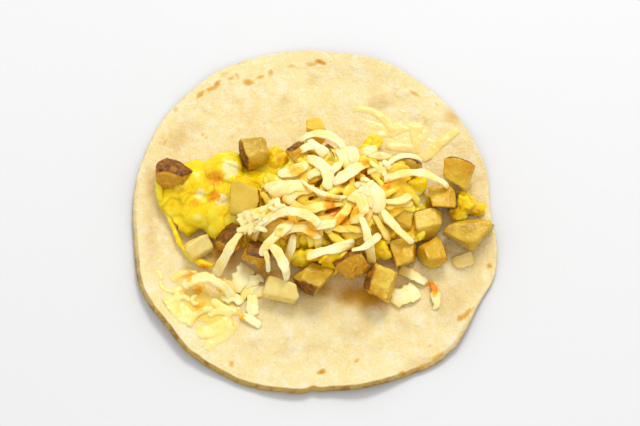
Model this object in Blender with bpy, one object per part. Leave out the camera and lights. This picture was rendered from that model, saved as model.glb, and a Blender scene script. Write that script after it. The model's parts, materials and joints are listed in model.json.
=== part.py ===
"""An open breakfast burrito: a flat flour tortilla with a heap of scrambled egg, diced roast potato
and grated cheese on it, ready to be rolled up.

+X runs along the heap to the right, +Y to the back and +Z up. The origin is on the surface that the
tortilla lies on, under the middle of the whole. Tables give millimetres and degrees.
"""

import math
import random

import bmesh
import bpy
import numpy as np
from mathutils import Euler, Matrix, Vector, noise
from mathutils.bvhtree import BVHTree

MM = 0.001
GAP = 0.45  # air left between two pieces that touch

# Tortilla: an 8 inch flour tortilla
TORTILLA_RADIUS = 101.0
TORTILLA_CENTRE = (0.5, 0.0)
TORTILLA_THICKNESS = 2.0
EDGE_THICKNESS = 1.3
RIM_START = 0.80  # share of the radius where the rim begins to lift
SPOKES = 80
TOP_RINGS = (0.20, 0.40, 0.56, 0.66, 0.74, 0.81, 0.87, 0.92, 0.96, 0.99)
UNDER_RINGS = (0.40, 0.78, 0.87, 0.94)
# angle, bulge of the outline, half width of the bulge in degrees
EDGE_BULGES = (
    (2, -3.4, 9),
    (25, -1.6, 16),
    (55, -0.8, 12),
    (82, -2.4, 11),
    (122, 1.8, 10),
    (146, 2.6, 14),
    (168, 0.8, 8),
    (206, 3.2, 11),
    (230, 2.8, 10),
    (247, 1.4, 8),
    (274, -2.2, 8),
    (312, 5.6, 14),
    (341, 3.4, 8),
)
# angle, lift of the rim over the surface, half width in degrees
RIM_LIFTS = (
    (25, 2.6, 14),
    (75, 3.2, 20),
    (128, 2.0, 16),
    (172, 3.0, 16),
    (218, 5.2, 22),
    (262, 2.6, 10),
    (285, 4.4, 12),
    (322, 3.4, 14),
    (352, 2.6, 8),
)
# x, y, radius, height of each blister
BLISTERS = (
    (38, 70, 9, 1.5),
    (50, 74, 5, 0.9),
    (66, 58, 6, 1.1),
    (-6, 66, 8, 1.0),
    (4, 84, 7, 0.9),
    (-66, 60, 8, 0.9),
    (-45, 72, 7, 0.8),
    (-30, 82, 6, 0.8),
    (22, -64, 8, 1.2),
    (34, -72, 6, 0.9),
    (0, -78, 7, 0.9),
    (56, -60, 7, 1.0),
    (-14, -66, 7, 0.8),
    (80, -48, 5, 0.8),
    (-96, 12, 5, 0.7),
)

# Heap: what the egg's mound is lofted through, as share of its outline and height
HEAP_CENTRE = (-2.0, 3.0)
HEAP_HALF_LENGTH = 66.0
HEAP_HALF_WIDTH = 27.0
HEAP_TURN = -5.0
HEAP_LEVELS = ((1.0, 2.35), (1.02, 6.0), (0.95, 9.5), (0.82, 12.5), (0.60, 14.6), (0.30, 15.6))
HEAP_SPOKES = 30

# Scrambled egg: x, y, middle height, half sizes along x, y and z, turn, roundness of the mesh
EGG_LOBES = (
    (-77, 8, 7.6, 10, 10, 5.2, 20, 2),
    (-64, 19, 9.5, 12, 9, 7.0, -25, 2),
    (-61, 2, 9.0, 13, 9, 6.6, -20, 2),
    (-49, 25, 11.0, 10, 9, 7.5, 30, 2),
    (-54, 12, 13.0, 9, 8, 5.5, 0, 2),
    (-70, -4, 6.2, 8, 6, 3.8, -35, 1),
    (-43, 14, 14.0, 7, 7, 5.0, 40, 1),
    (-25, 15, 13.5, 9, 7, 5.5, 15, 1),
    (-22, 30, 10.0, 9, 7, 6.0, -20, 1),
    (46, 9, 13.5, 12, 7, 5.5, 18, 1),
    (57, 13, 11.5, 7, 5, 5.0, 60, 1),
    (9, -31, 9.5, 7, 5, 6.0, 25, 1),
    (-6, -27, 9.0, 8, 5, 6.0, -10, 1),
    (33, 40, 6.6, 6, 4, 4.2, 60, 1),
    (28, 33, 7.5, 8, 6, 5.0, 10, 1),
    (56, -11, 9.0, 8, 6, 5.0, 70, 1),
    (36, -22, 10.0, 7, 5, 5.5, -30, 1),
    (2, 33, 9.0, 9, 6, 6.0, -20, 1),
)
# The curds that lie apart at the right, between the last chunks
RIGHT_LOBES = (
    (84, 5, 7.0, 6, 7, 4.6, 20, 2),
    (90, 2, 5.2, 4, 4, 3.0, 30, 1),
    (80, 0, 5.6, 5, 5, 3.4, -20, 1),
)
# The pulled yolk string at the left: x, y, z along its middle
YOLK_STRING = (
    (-85, 15, 11.5),
    (-84, 9, 9.0),
    (-80, 0, 6.0),
    (-76, -9, 4.4),
    (-72, -18, 4.2),
    (-66, -25, 4.4),
    (-59, -29, 5.0),
    (-54, -30, 5.2),
)
YOLK_STRING_RADII = (2.4, 1.9, 1.5, 1.4, 1.6, 2.0, 2.3, 1.4)

# Potato chunks, cut from small potatoes. Local +X is the skin side before turning.
# x, y, lowest point, depth under the skin, width, height, yaw, pitch, taper
POTATO_RADIUS = 23.0
CHUNKS = (
    (-77, 21, 2.4, 11, 18, 12, 75, -58, 2),
    (-33, 30.5, 10.0, 15, 14, 12, 200, -12, 6),
    (-38, 4, 9.5, 15, 16, 14, -8, 6, 3),
    (-63, -20, 2.4, 10, 14, 6.5, 118, -8, 4),
    (-46, -15, 2.6, 9, 13, 12, 150, -50, 2),
    (-31, -25, 2.6, 9, 13, 11, 60, -60, 3),
    (-18, -43, 2.4, 19, 11, 6, 165, 0, 16),
    (0, -38, 2.4, 15, 13, 11, 235, -6, 4),
    (20, -31, 2.6, 13, 13, 13, 115, -24, 4),
    (36, -41, 2.4, 15, 15, 10, 160, -14, 3),
    (48.5, -24.5, 2.6, 13, 12, 11, 95, 0, 5),
    (64, -22.5, 2.4, 12, 12, 10, 20, 4, 5),
    (62, -7.5, 2.4, 12, 12, 11, 100, 8, 8),
    (71, 7, 2.4, 12, 11, 10, 10, -10, 6),
    (80, 21, 2.4, 13, 14, 11, 70, -14, 5),
    (84.5, -13.5, 2.4, 17, 23, 11, 98, 3, 42),
    (48, -5.5, 7.6, 10, 11, 9, 85, 5, 4),
    (1, 46, 2.6, 12, 8, 12, 95, -50, 5),
    (-9, 29, 12.0, 9, 10, 9, 120, -40, 5),
    (52, 24, 3.0, 12, 13, 11, 70, -20, 4),
    (8, 31, 9.0, 9, 9, 9, 40, -30, 5),
    (36.5, -17, 7.0, 9, 8, 8, 20, 6, 5),
)

# Grated cheese
SHRED_THICKNESS = 2.5
MELTED_THICKNESS = 1.5
SHRED_SINK = 0.5  # how far a shred presses into what it lies on
SAG = 0.25  # fall of a shred's middle between the two places that hold it
STEEPEST = 0.75  # fall over run, beyond which a shred reaches out over a drop instead of bending into it
BLANKET_CENTRE = (11.0, 6.0)
BLANKET_HALF_LENGTH = 47.0
BLANKET_HALF_WIDTH = 30.0
BLANKET_TURN = 6.0
BLANKET_SINK = 3.2
BLANKET_RISE = 4.2
# x, y, heading, length, bend over the whole length, width
TOP_SHREDS = (
    (5, 40, -10, 27, -90, 4.6),
    (2, 32, -52, 13, -20, 4.4),
    (37, 32, 17, 15, 10, 5.2),
    (49, 29, 12, 23, -90, 3.6),
    (29, 34, 21, 13, -10, 5.6),
    (22, 29, -81, 12, -60, 7.0),
    (-14, 9, 12, 20, -40, 8.0),
    (6, 19, -60, 25, -110, 6.5),
    (20, 18, 35, 24, -5, 6.5),
    (12, 21, 56, 11, 0, 4.0),
    (56, 17, -2, 37, -55, 4.6),
    (4, 5, -20, 28, 70, 2.4),
    (34, 6, -60, 24, -120, 7.5),
    (26, -1, -73, 11, -10, 6.0),
    (44, -13, -49, 24, 35, 4.8),
    (-13, -23, -105, 16, 10, 5.0),
    (-7, -14, -7, 22, -95, 5.0),
    (9, -25, 16, 27, 18, 6.0),
    (29, -19, -74, 24, -12, 4.8),
    (29, -22, 30, 18, 40, 4.2),
    (-21, -18, 46, 25, -30, 5.4),
    (-17, -31, -65, 20, -50, 5.4),
    (-25, -31, -82, 10, 0, 2.6),
    (-35, -9, -56, 14, -30, 9.0),
    (-29, -4, 20, 12, 40, 6.5),
    (-22, -2, -8, 17, -120, 4.8),
    (-16, -6, 6, 42, -105, 5.2),
    (-46, -24, -124, 27, 5, 5.0),
)
BACK_SHREDS = (
    (33, 62, -24, 34, -80, 4.2),
    (57, 45, -78, 17, 35, 4.0),
    (73, 44, 42, 31, -18, 5.0),
    (50, 40, -10, 18, -10, 4.6),
    (62, 36, 35, 15, 30, 4.0),
    (44, 50, 30, 16, 60, 3.6),
)
FRONT_SHREDS = (
    (-86, -42, -65, 20, 35, 4.6),
    (-76, -40, -32, 17, 50, 4.0),
    (-50, -72, 30, 21, 40, 5.0),
    (-69, -50, -50, 26, 20, 9.0),
    (-61, -56, 42, 16, -45, 4.6),
    (-52, -63, 26, 23, 25, 9.0),
    (-53, -41, -14, 30, -65, 4.8),
    (-40, -36, 50, 14, 5, 8.0),
    (-30, -39, 9, 12, -10, 6.5),
    (-35, -51, -89, 15, 0, 5.0),
)
# Small flakes of cheese that lie by themselves: x, y, heading, length, bend, width
LOOSE_FLAKES = (
    (54, -35, -23, 16, 40, 4.4),
    (49, -46, 19, 15, 5, 6.5),
    (66, -46, -80, 17, -20, 3.6),
    (82, -27, 17, 10, 0, 5.0),
)
# Melted films under the shreds that lie on the tortilla: centre, half length, half width, turn, rise
FRONT_FILM = (-61, -51, 31, 17, -38, 1.5)
BACK_FILM = (52, 48, 33, 14, 2, 0.9)
# Share of a film's outline, share of its rise there
FILM_LEVELS = ((1.0, 0.0), (0.9, 0.75), (0.5, 1.0))
BLANKET_LEVELS = ((1.0, 0.0), (0.86, 0.6), (0.66, 1.0), (0.45, 1.0), (0.22, 1.0))
FILM_EDGE = 0.3  # thickness at a film's outline
FILLER_SHREDS = 22
FILLER_SEED = 11

COLOURS = {
    "tortilla": ((0.93, 0.82, 0.60), 0.75),
    "egg": ((0.93, 0.72, 0.12), 0.45),
    "potato": ((0.80, 0.58, 0.16), 0.50),
    "cheese": ((0.93, 0.80, 0.48), 0.40),
    "melted_cheese": ((0.90, 0.66, 0.26), 0.30),
}


def clear_scene():
    for obj in list(bpy.data.objects):
        bpy.data.objects.remove(obj, do_unlink=True)


def material_of(name):
    """The Principled material of one food, made the first time that it is asked for."""
    found = bpy.data.materials.get(name)
    if found:
        return found
    colour, roughness = COLOURS[name]
    made = bpy.data.materials.new(name)
    made.use_nodes = True
    shader = made.node_tree.nodes["Principled BSDF"]
    shader.inputs["Base Color"].default_value = (*colour, 1.0)
    shader.inputs["Roughness"].default_value = roughness
    shader.inputs["Metallic"].default_value = 0.0
    made.diffuse_color = (*colour, 1.0)
    return made


def object_from(bm, name, material=None):
    """A scene object of a bmesh in millimetres, shaded smooth where faces meet gently."""
    bmesh.ops.triangulate(bm, faces=bm.faces)
    bmesh.ops.recalc_face_normals(bm, faces=bm.faces)
    mesh = bpy.data.meshes.new(name)
    bm.to_mesh(mesh)
    bm.free()
    mesh.transform(Matrix.Scale(MM, 4))
    mesh.shade_smooth()
    mesh.set_sharp_from_angle(angle=math.radians(38))
    obj = bpy.data.objects.new(name, mesh)
    bpy.context.scene.collection.objects.link(obj)
    if material:
        mesh.materials.append(material_of(material))
    return obj


def bmesh_of(obj):
    """A bmesh in millimetres of the object as its modifiers leave it."""
    graph = bpy.context.evaluated_depsgraph_get()
    bm = bmesh.new()
    bm.from_object(obj, graph)
    bmesh.ops.transform(bm, matrix=Matrix.Scale(1 / MM, 4), verts=bm.verts)
    return bm


def add_ring(bm, points):
    """A closed loop of edges through the points."""
    verts = [bm.verts.new(point) for point in points]
    return [bm.edges.new((a, b)) for a, b in zip(verts, verts[1:] + verts[:1])]


def loft(rings):
    """A bmesh with each ring bridged to the next and both ends closed."""
    bm = bmesh.new()
    loops = [add_ring(bm, ring) for ring in rings]
    for near, far in zip(loops, loops[1:]):
        bmesh.ops.bridge_loops(bm, edges=near + far)
    for loop in (loops[0], loops[-1]):
        bmesh.ops.edgeloop_fill(bm, edges=loop)
    return bm


def smooth_step(share):
    share = min(1.0, max(0.0, share))
    return share * share * (3 - 2 * share)


def bell(angle, centre, half_width):
    """1 at the centre of a bulge round the edge, falling to 0 beyond about twice its half width."""
    away = (angle - centre + 180) % 360 - 180
    return math.exp(-((away / half_width) ** 2))


def edge_radius(angle):
    return TORTILLA_RADIUS + sum(size * bell(angle, at, wide) for at, size, wide in EDGE_BULGES)


def rim_lift(angle, share):
    """How far the tortilla's underside stands off the surface at this share of the radius."""
    lift = 0.5 + sum(size * bell(angle, at, wide) for at, size, wide in RIM_LIFTS)
    return lift * smooth_step((share - RIM_START) / (1 - RIM_START)) ** 1.4


def blister_height(x, y):
    """Each blister is a smooth dome that fades out at its radius."""
    height = 0.0
    for centre_x, centre_y, radius, size in BLISTERS:
        share = math.hypot(x - centre_x, y - centre_y) / radius
        if share < 1:
            height += size * (1 - share * share) ** 2
    return height


def polar(x, y):
    """Angle in degrees and share of the edge's radius of a place on the tortilla."""
    x, y = x - TORTILLA_CENTRE[0], y - TORTILLA_CENTRE[1]
    angle = math.degrees(math.atan2(y, x)) % 360
    return angle, math.hypot(x, y) / edge_radius(angle)


def tortilla_top(x, y):
    """Height of the tortilla's upper face, which thins to the edge and carries the blisters."""
    angle, share = polar(x, y)
    thickness = TORTILLA_THICKNESS
    thickness -= (TORTILLA_THICKNESS - EDGE_THICKNESS) * smooth_step((share - 0.9) / 0.1)
    return rim_lift(angle, share) + thickness + blister_height(x, y)


def tortilla_ring(share, height_at):
    """Points of one ring of the tortilla, at a share of the radius."""
    ring = []
    for spoke in range(SPOKES):
        angle = 360 * spoke / SPOKES
        radius = edge_radius(angle) * share
        x = TORTILLA_CENTRE[0] + radius * math.cos(math.radians(angle))
        y = TORTILLA_CENTRE[1] + radius * math.sin(math.radians(angle))
        ring.append((x, y, height_at(x, y, angle, share)))
    return ring


def make_tortilla():
    """A thin disc, lofted from the middle of its underside round the edge to the middle of its top."""
    under = [tortilla_ring(s, lambda x, y, a, share: rim_lift(a, share)) for s in UNDER_RINGS]
    edge = [tortilla_ring(1.0, lambda x, y, a, share: rim_lift(a, share) + 0.3 * EDGE_THICKNESS)]
    top = [tortilla_ring(s, lambda x, y, a, share: tortilla_top(x, y)) for s in TOP_RINGS[::-1]]
    return object_from(loft(under + edge + top), "tortilla", "tortilla")


def keep_main_shell(bm):
    """Drops every shell but the one of most volume: loose scraps, and the walls of sealed hollows."""
    shells, seen = [], set()
    for start in bm.faces:
        if start in seen:
            continue
        shell, front = [], [start]
        seen.add(start)
        while front:
            face = front.pop()
            shell.append(face)
            for edge in face.edges:
                for other in edge.link_faces:
                    if other not in seen:
                        seen.add(other)
                        front.append(other)
        shells.append(shell)

    def volume(shell):
        total = 0.0
        for face in shell:
            corners = [vert.co for vert in face.verts]
            for second, third in zip(corners[1:], corners[2:]):
                total += corners[0].dot(second.cross(third)) / 6
        return total

    shells.sort(key=volume)
    for shell in shells[:-1]:
        bmesh.ops.delete(bm, geom=shell, context="FACES")
    loose = [vert for vert in bm.verts if not vert.link_faces]
    bmesh.ops.delete(bm, geom=loose, context="VERTS")


def is_closed(bm):
    """Every edge has two faces that run opposite ways along it, and no two faces share all corners."""
    corners = {frozenset(vert.index for vert in face.verts) for face in bm.faces}
    return len(corners) == len(bm.faces) and all(
        len(edge.link_loops) == 2 and edge.link_loops[0].vert != edge.link_loops[1].vert
        for edge in bm.edges
    )


def first_closed(versions):
    """The first of the versions that is closed, or the last of them; the others are freed."""
    best = None
    for bm in versions:
        if best:
            best.free()
        best = bm
        bm.verts.index_update()
        if is_closed(bm):
            break
    return best


def split_ways(bm):
    """The mesh in triangles, split by each of the two rules in turn."""
    for rule in ("BEAUTY", "EAR_CLIP"):
        split = bm.copy()
        bmesh.ops.triangulate(split, faces=split.faces, quad_method="BEAUTY", ngon_method=rule)
        yield split


def welded_ways(bm):
    """The mesh with its shortest edges closed up, by ever shorter steps."""
    for step in (0.3, 0.2, 0.12, 0.06, 0.03, 0.01):
        tidy = bm.copy()
        bmesh.ops.dissolve_degenerate(tidy, dist=step, edges=tidy.edges)
        bmesh.ops.triangulate(tidy, faces=tidy.faces)
        yield tidy
    yield bm.copy()


def collapsed(obj, share):
    """A bmesh of the object with only this share of its triangles, the flattest gone first."""
    modifier = obj.modifiers.new("thin", "DECIMATE")
    modifier.ratio = share
    bm = bmesh_of(obj)
    obj.modifiers.remove(modifier)
    bmesh.ops.triangulate(bm, faces=bm.faces)
    return bm


def boolean_with(obj, others, operation, share=1.0):
    """One Boolean of the others on the object, which removes them; then the main shell, thinned."""
    group = bpy.data.collections.new("operands")
    bpy.context.scene.collection.children.link(group)
    for other in others:
        group.objects.link(other)
        bpy.context.scene.collection.objects.unlink(other)
    modifier = obj.modifiers.new("join", "BOOLEAN")
    modifier.operand_type = "COLLECTION"
    modifier.collection = group
    modifier.operation = operation
    modifier.solver = "EXACT"
    raw = bmesh_of(obj)
    obj.modifiers.remove(modifier)
    for other in list(group.objects):
        bpy.data.objects.remove(other, do_unlink=True)
    bpy.data.collections.remove(group)
    split = first_closed(split_ways(raw))
    bm = first_closed(welded_ways(split))
    raw.free()
    split.free()
    keep_main_shell(bm)
    name, materials = obj.name, [slot.name for slot in obj.data.materials]
    bpy.data.objects.remove(obj, do_unlink=True)
    food = materials[0] if materials else None
    if share == 1.0:
        return object_from(bm, name, food)
    whole = object_from(bm, name + ".whole")
    bm = collapsed(whole, share)
    bpy.data.objects.remove(whole, do_unlink=True)
    return object_from(bm, name, food)


def swollen_copy(obj, gap):
    """A helper a little larger all round than the object, for cutting its neighbour clear of it."""
    bm = bmesh_of(obj)
    bm.normal_update()
    moves = [vert.normal * gap * min(1.8, vert.calc_shell_factor()) for vert in bm.verts]
    for vert, move in zip(bm.verts, moves):
        vert.co += move
    return object_from(bm, obj.name + ".room")


def cut_clear(obj, neighbours, share=1.0, gap=GAP):
    rooms = [swollen_copy(other, gap) for other in neighbours]
    return boolean_with(obj, rooms, "DIFFERENCE", share)


def heap_point(turn, share, height):
    """A place on the egg mound's side, on an ellipse that is fuller than round."""
    x = HEAP_HALF_LENGTH * share * math.copysign(abs(math.cos(turn)) ** 0.8, math.cos(turn))
    y = HEAP_HALF_WIDTH * share * math.copysign(abs(math.sin(turn)) ** 0.9, math.sin(turn))
    place = Vector((x, y, 0))
    place.rotate(Euler((0, 0, math.radians(HEAP_TURN))))
    wave = 1 + 0.06 * noise.noise(place * 0.09 + Vector((3, 1, height * 0.1)))
    return place.x * wave + HEAP_CENTRE[0], place.y * wave + HEAP_CENTRE[1], height


def make_mound():
    """The egg's mound, lofted through its levels."""
    rings = []
    for share, height in HEAP_LEVELS:
        turns = (2 * math.pi * spoke / HEAP_SPOKES for spoke in range(HEAP_SPOKES))
        rings.append([heap_point(turn, share, height) for turn in turns])
    return object_from(loft(rings), "scrambled_egg", "egg")


def make_lobe(name, number, x, y, z, half_x, half_y, half_z, turn, fineness):
    """One curd: a round lump with a smooth noise over its surface."""
    bm = bmesh.new()
    bmesh.ops.create_icosphere(bm, subdivisions=fineness, radius=1.0)
    for vert in bm.verts:
        lump = 0.16 * noise.noise(vert.co * 1.9 + Vector((number * 7.3, 0, 0)))
        vert.co = vert.co * (1 + lump)
    size = Matrix.Diagonal((half_x, half_y, half_z, 1))
    place = Matrix.Translation((x, y, z)) @ Matrix.Rotation(math.radians(turn), 4, "Z")
    bmesh.ops.transform(bm, matrix=place @ size, verts=bm.verts)
    for vert in bm.verts:
        vert.co.z = max(vert.co.z, tortilla_top(vert.co.x, vert.co.y) + GAP)
    return object_from(bm, name, "egg")


def ring_round(centre, ahead, half_width, half_height, sides=6):
    """A flattened ring of points square to the direction ahead."""
    across = Vector((-ahead.y, ahead.x, 0)).normalized()
    up = ahead.cross(across)
    up = up if up.z > 0 else -up
    ring = []
    for side in range(sides):
        turn = 2 * math.pi * side / sides
        ring.append(
            centre + across * half_width * math.cos(turn) + up * half_height * math.sin(turn)
        )
    return ring


def sweep(name, route, half_widths, half_heights, material=None):
    """A tapered strand: flattened rings carried along the route and bridged."""
    route = [Vector(point) for point in route]
    rings = []
    for index, centre in enumerate(route):
        ahead = route[min(index + 1, len(route) - 1)] - route[max(index - 1, 0)]
        rings.append(
            ring_round(centre, ahead.normalized(), half_widths[index], half_heights[index])
        )
    return object_from(loft(rings), name, material)


def chunk_planes(number, depth, width, height, taper):
    """The five cuts of a chunk as (point, outward normal), each a few degrees out of true."""
    drawn = random.Random(100 + number)
    lean = math.radians(taper)
    cuts = (
        ((-depth / 2, 0, 0), (-1, 0, 0)),
        ((0, width / 2, 0), (-math.sin(lean), math.cos(lean), 0)),
        ((0, -width / 2, 0), (-math.sin(lean), -math.cos(lean), 0)),
        ((0, 0, height / 2), (0, 0, 1)),
        ((0, 0, -height / 2), (0, 0, -1)),
    )
    planes = []
    for point, normal in cuts:
        normal = Vector(normal)
        normal.rotate(Euler([math.radians(drawn.uniform(-5, 5)) for _ in range(3)]))
        planes.append((Vector(point), normal))
    return planes


def make_chunk(number, x, y, lowest, depth, width, height, yaw, pitch, taper):
    """A chunk of potato: the part of a round potato that lies inside five cuts."""
    bm = bmesh.new()
    bmesh.ops.create_icosphere(bm, subdivisions=3, radius=POTATO_RADIUS)
    bmesh.ops.translate(bm, vec=(depth / 2 - POTATO_RADIUS, 0, 0), verts=bm.verts)
    for point, normal in chunk_planes(number, depth, width, height, taper):
        everything = bm.verts[:] + bm.edges[:] + bm.faces[:]
        cut = bmesh.ops.bisect_plane(
            bm, geom=everything, plane_co=point, plane_no=normal, clear_outer=True
        )
        rim = [part for part in cut["geom_cut"] if isinstance(part, bmesh.types.BMEdge)]
        if rim:
            bmesh.ops.edgeloop_fill(bm, edges=rim)
    bmesh.ops.dissolve_degenerate(bm, dist=0.3, edges=bm.edges)
    turn = Euler((0, math.radians(pitch), math.radians(yaw))).to_matrix().to_4x4()
    bmesh.ops.transform(bm, matrix=turn, verts=bm.verts)
    corners = np.array([vert.co for vert in bm.verts])
    low, high = corners.min(axis=0), corners.max(axis=0)
    shift = Vector((x, y, lowest)) - Vector(((low[0] + high[0]) / 2, (low[1] + high[1]) / 2, low[2]))
    bmesh.ops.translate(bm, vec=shift, verts=bm.verts)
    sunk = max(tortilla_top(*vert.co.xy) + GAP - vert.co.z for vert in bm.verts)
    bmesh.ops.translate(bm, vec=(0, 0, max(0, sunk)), verts=bm.verts)
    return object_from(bm, f"potato_{number:02d}", "potato")


class HeightMap:
    """The highest point of what has been laid so far, over each square of a fine grid."""

    STEP = 1.0
    REACH = 106.0

    def __init__(self, objects):
        side = int(2 * self.REACH / self.STEP) + 1
        self.heights = np.zeros((side, side))
        for obj in objects:
            self.add(obj)

    def add(self, obj):
        """Raises the map to the object's upper side, by a ray dropped on to each square."""
        bm = bmesh_of(obj)
        tree = BVHTree.FromBMesh(bm)
        bm.free()
        for (row, column), height in np.ndenumerate(self.heights):
            above = Vector((*self.place(row, column), self.REACH))
            hit = tree.ray_cast(above, Vector((0, 0, -1)))[0]
            if hit and hit.z > height:
                self.heights[row, column] = hit.z

    def softened(self, rounds):
        """The heights averaged with their four neighbours this many times."""
        soft = self.heights.copy()
        for _ in range(rounds):
            sides = soft[:-2, 1:-1] + soft[2:, 1:-1] + soft[1:-1, :-2] + soft[1:-1, 2:]
            soft[1:-1, 1:-1] = sides / 4
        return soft

    def place(self, row, column):
        return row * self.STEP - self.REACH, column * self.STEP - self.REACH

    def window(self, x, y, reach):
        row, column = (x + self.REACH) / self.STEP, (y + self.REACH) / self.STEP
        span = reach / self.STEP
        return np.s_[
            max(0, round(row - span)) : round(row + span) + 1,
            max(0, round(column - span)) : round(column + span) + 1,
        ]

    def over(self, x, y, reach):
        return float(np.quantile(self.heights[self.window(x, y, reach)], 0.7))

    def lay(self, x, y, reach, top):
        window = self.window(x, y, reach)
        self.heights[window] = np.maximum(self.heights[window], top)


def shred_route(x, y, heading, length, bend, steps):
    """Places along an arc of this length and total bend, whose middle is at x, y."""
    pace = length / (steps - 1)
    places, at = [Vector((0, 0))], Vector((0, 0))
    for step in range(steps - 1):
        turn = math.radians(heading + bend * ((step + 0.5) / (steps - 1) - 0.5))
        at = at + Vector((math.cos(turn), math.sin(turn))) * pace
        places.append(at.copy())
    shift = Vector((x, y)) - places[steps // 2]
    return [place + shift for place in places]


def lay_shred(name, ground, shape, thickness, sink=SHRED_SINK, material=None):
    """A shred of cheese that rests on what is under it, and bridges what is too narrow to sag into."""
    x, y, heading, length, bend, width = shape
    steps = 4 if length < 15 and abs(bend) < 45 else 5 if length < 26 else 6
    route = shred_route(x, y, heading, length, bend, steps)
    floor = [ground.over(place.x, place.y, width * 0.3) for place in route]
    height = list(floor)
    steepest = STEEPEST * length / (steps - 1)
    for _ in range(6):
        for index in range(steps):
            near = [height[other] for other in (index - 1, index + 1) if 0 <= other < steps]
            held = max(near) - steepest
            if len(near) == 2:
                held = max(held, sum(near) / 2 - SAG)
            height[index] = max(floor[index], held)
    centres = [(*place, level + thickness / 2 - sink) for place, level in zip(route, height)]
    ends = [0.55 + 0.45 * min(1, 3 * min(i, steps - 1 - i) / (steps - 1)) for i in range(steps)]
    half_widths = [width / 2 * end for end in ends]
    half_heights = [thickness / 2 * 1.15 * math.sqrt(end) for end in ends]
    made = sweep(name, centres, half_widths, half_heights, material)
    for (x, y, z), end in zip(centres, ends):
        ground.lay(x, y, width * 0.38 * end, z + thickness / 2)
    return made


def film_ring(film, share, height_at, spokes=26):
    """Points of one ring of a melted film, whose outline waves a little."""
    centre_x, centre_y, half_length, half_width, turn, _ = film
    ring = []
    for spoke in range(spokes):
        angle = 2 * math.pi * spoke / spokes
        wave = 1 + 0.10 * math.sin(3 * angle + centre_x) + 0.06 * math.sin(5 * angle + centre_y)
        place = Vector((half_length * math.cos(angle), half_width * math.sin(angle)))
        place = place * share * wave
        place.rotate(Matrix.Rotation(math.radians(turn), 2))
        x, y = centre_x + place.x, centre_y + place.y
        ring.append((x, y, height_at(x, y)))
    return ring


def make_film(name, film, levels, sole_at, material):
    """A closed sheet that lies on the sole: the sole's rings, then the levels' rings back to the middle.
    Each level is a share of the outline and a share of the film's rise."""
    rise = film[5]
    rings = [film_ring(film, share, sole_at) for share, _ in levels[::-1]]
    for share, part in levels:
        up = rise * part + FILM_EDGE
        rings.append(film_ring(film, share, lambda x, y, up=up: sole_at(x, y) + up))
    return object_from(loft(rings), name, material)


def make_egg(potatoes):
    """The mound, its lobes and the pulled string in one solid, with a socket for each chunk."""
    mound = make_mound()
    lobes = [make_lobe(f"lobe.{number}", number, *lobe) for number, lobe in enumerate(EGG_LOBES)]
    string = sweep("string", YOLK_STRING, YOLK_STRING_RADII, YOLK_STRING_RADII)
    egg = boolean_with(mound, lobes + [string], "UNION")
    return cut_clear(egg, potatoes, share=0.75)


def make_right_curds(potatoes):
    """The few curds that lie apart from the mound, fused with each other."""
    first, *others = [
        make_lobe(f"scrambled_egg_right.{number}", number, *lobe)
        for number, lobe in enumerate(RIGHT_LOBES, 40)
    ]
    first.name = "scrambled_egg_right"
    return cut_clear(boolean_with(first, others, "UNION"), potatoes)


def filler_shapes():
    """Seeded shreds of the lower layer, spread evenly over the blanket by a golden-angle spiral."""
    drawn = random.Random(FILLER_SEED)
    turn = math.radians(BLANKET_TURN)
    shapes = []
    for number in range(FILLER_SHREDS):
        share = math.sqrt((number + 0.5) / FILLER_SHREDS) * 0.92
        angle = number * math.pi * (3 - math.sqrt(5))
        along = BLANKET_HALF_LENGTH * share * math.cos(angle)
        across = BLANKET_HALF_WIDTH * share * math.sin(angle)
        x = BLANKET_CENTRE[0] + along * math.cos(turn) - across * math.sin(turn)
        y = BLANKET_CENTRE[1] + along * math.sin(turn) + across * math.cos(turn)
        heading, length = drawn.uniform(0, 180), drawn.uniform(12, 24)
        shapes.append((x, y, heading, length, drawn.uniform(-70, 70), drawn.uniform(3.6, 5.4)))
    return shapes


def make_cheese(ground):
    """The grated cheese: a blanket over the middle of the heap with the shreds that show fused on."""
    film = (*BLANKET_CENTRE, BLANKET_HALF_LENGTH, BLANKET_HALF_WIDTH, BLANKET_TURN, BLANKET_RISE)
    soft = ground.softened(6)

    def sole_at(x, y):
        under = float(soft[ground.window(x, y, 0)].max()) - BLANKET_SINK
        return max(under, tortilla_top(x, y) + GAP)

    blanket = make_film("grated_cheese", film, BLANKET_LEVELS, sole_at, "cheese")
    ground.add(blanket)
    shreds = []
    for number, shape in enumerate(filler_shapes() + list(TOP_SHREDS)):
        shreds.append(lay_shred(f"shred.{number}", ground, shape, SHRED_THICKNESS))
    return boolean_with(blanket, shreds, "UNION")


def make_melted(name, film, shapes, ground):
    """Cheese melted on to the tortilla: a thin film and the shreds that still stand out of it."""
    sheet = make_film(name, film, FILM_LEVELS, lambda x, y: tortilla_top(x, y) + GAP, "melted_cheese")
    thickness = MELTED_THICKNESS + 0.6 * film[5]
    shreds = [
        lay_shred(f"{name}.{number}", ground, shape, thickness, sink=-GAP)
        for number, shape in enumerate(shapes)
    ]
    return boolean_with(sheet, shreds, "UNION")


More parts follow.
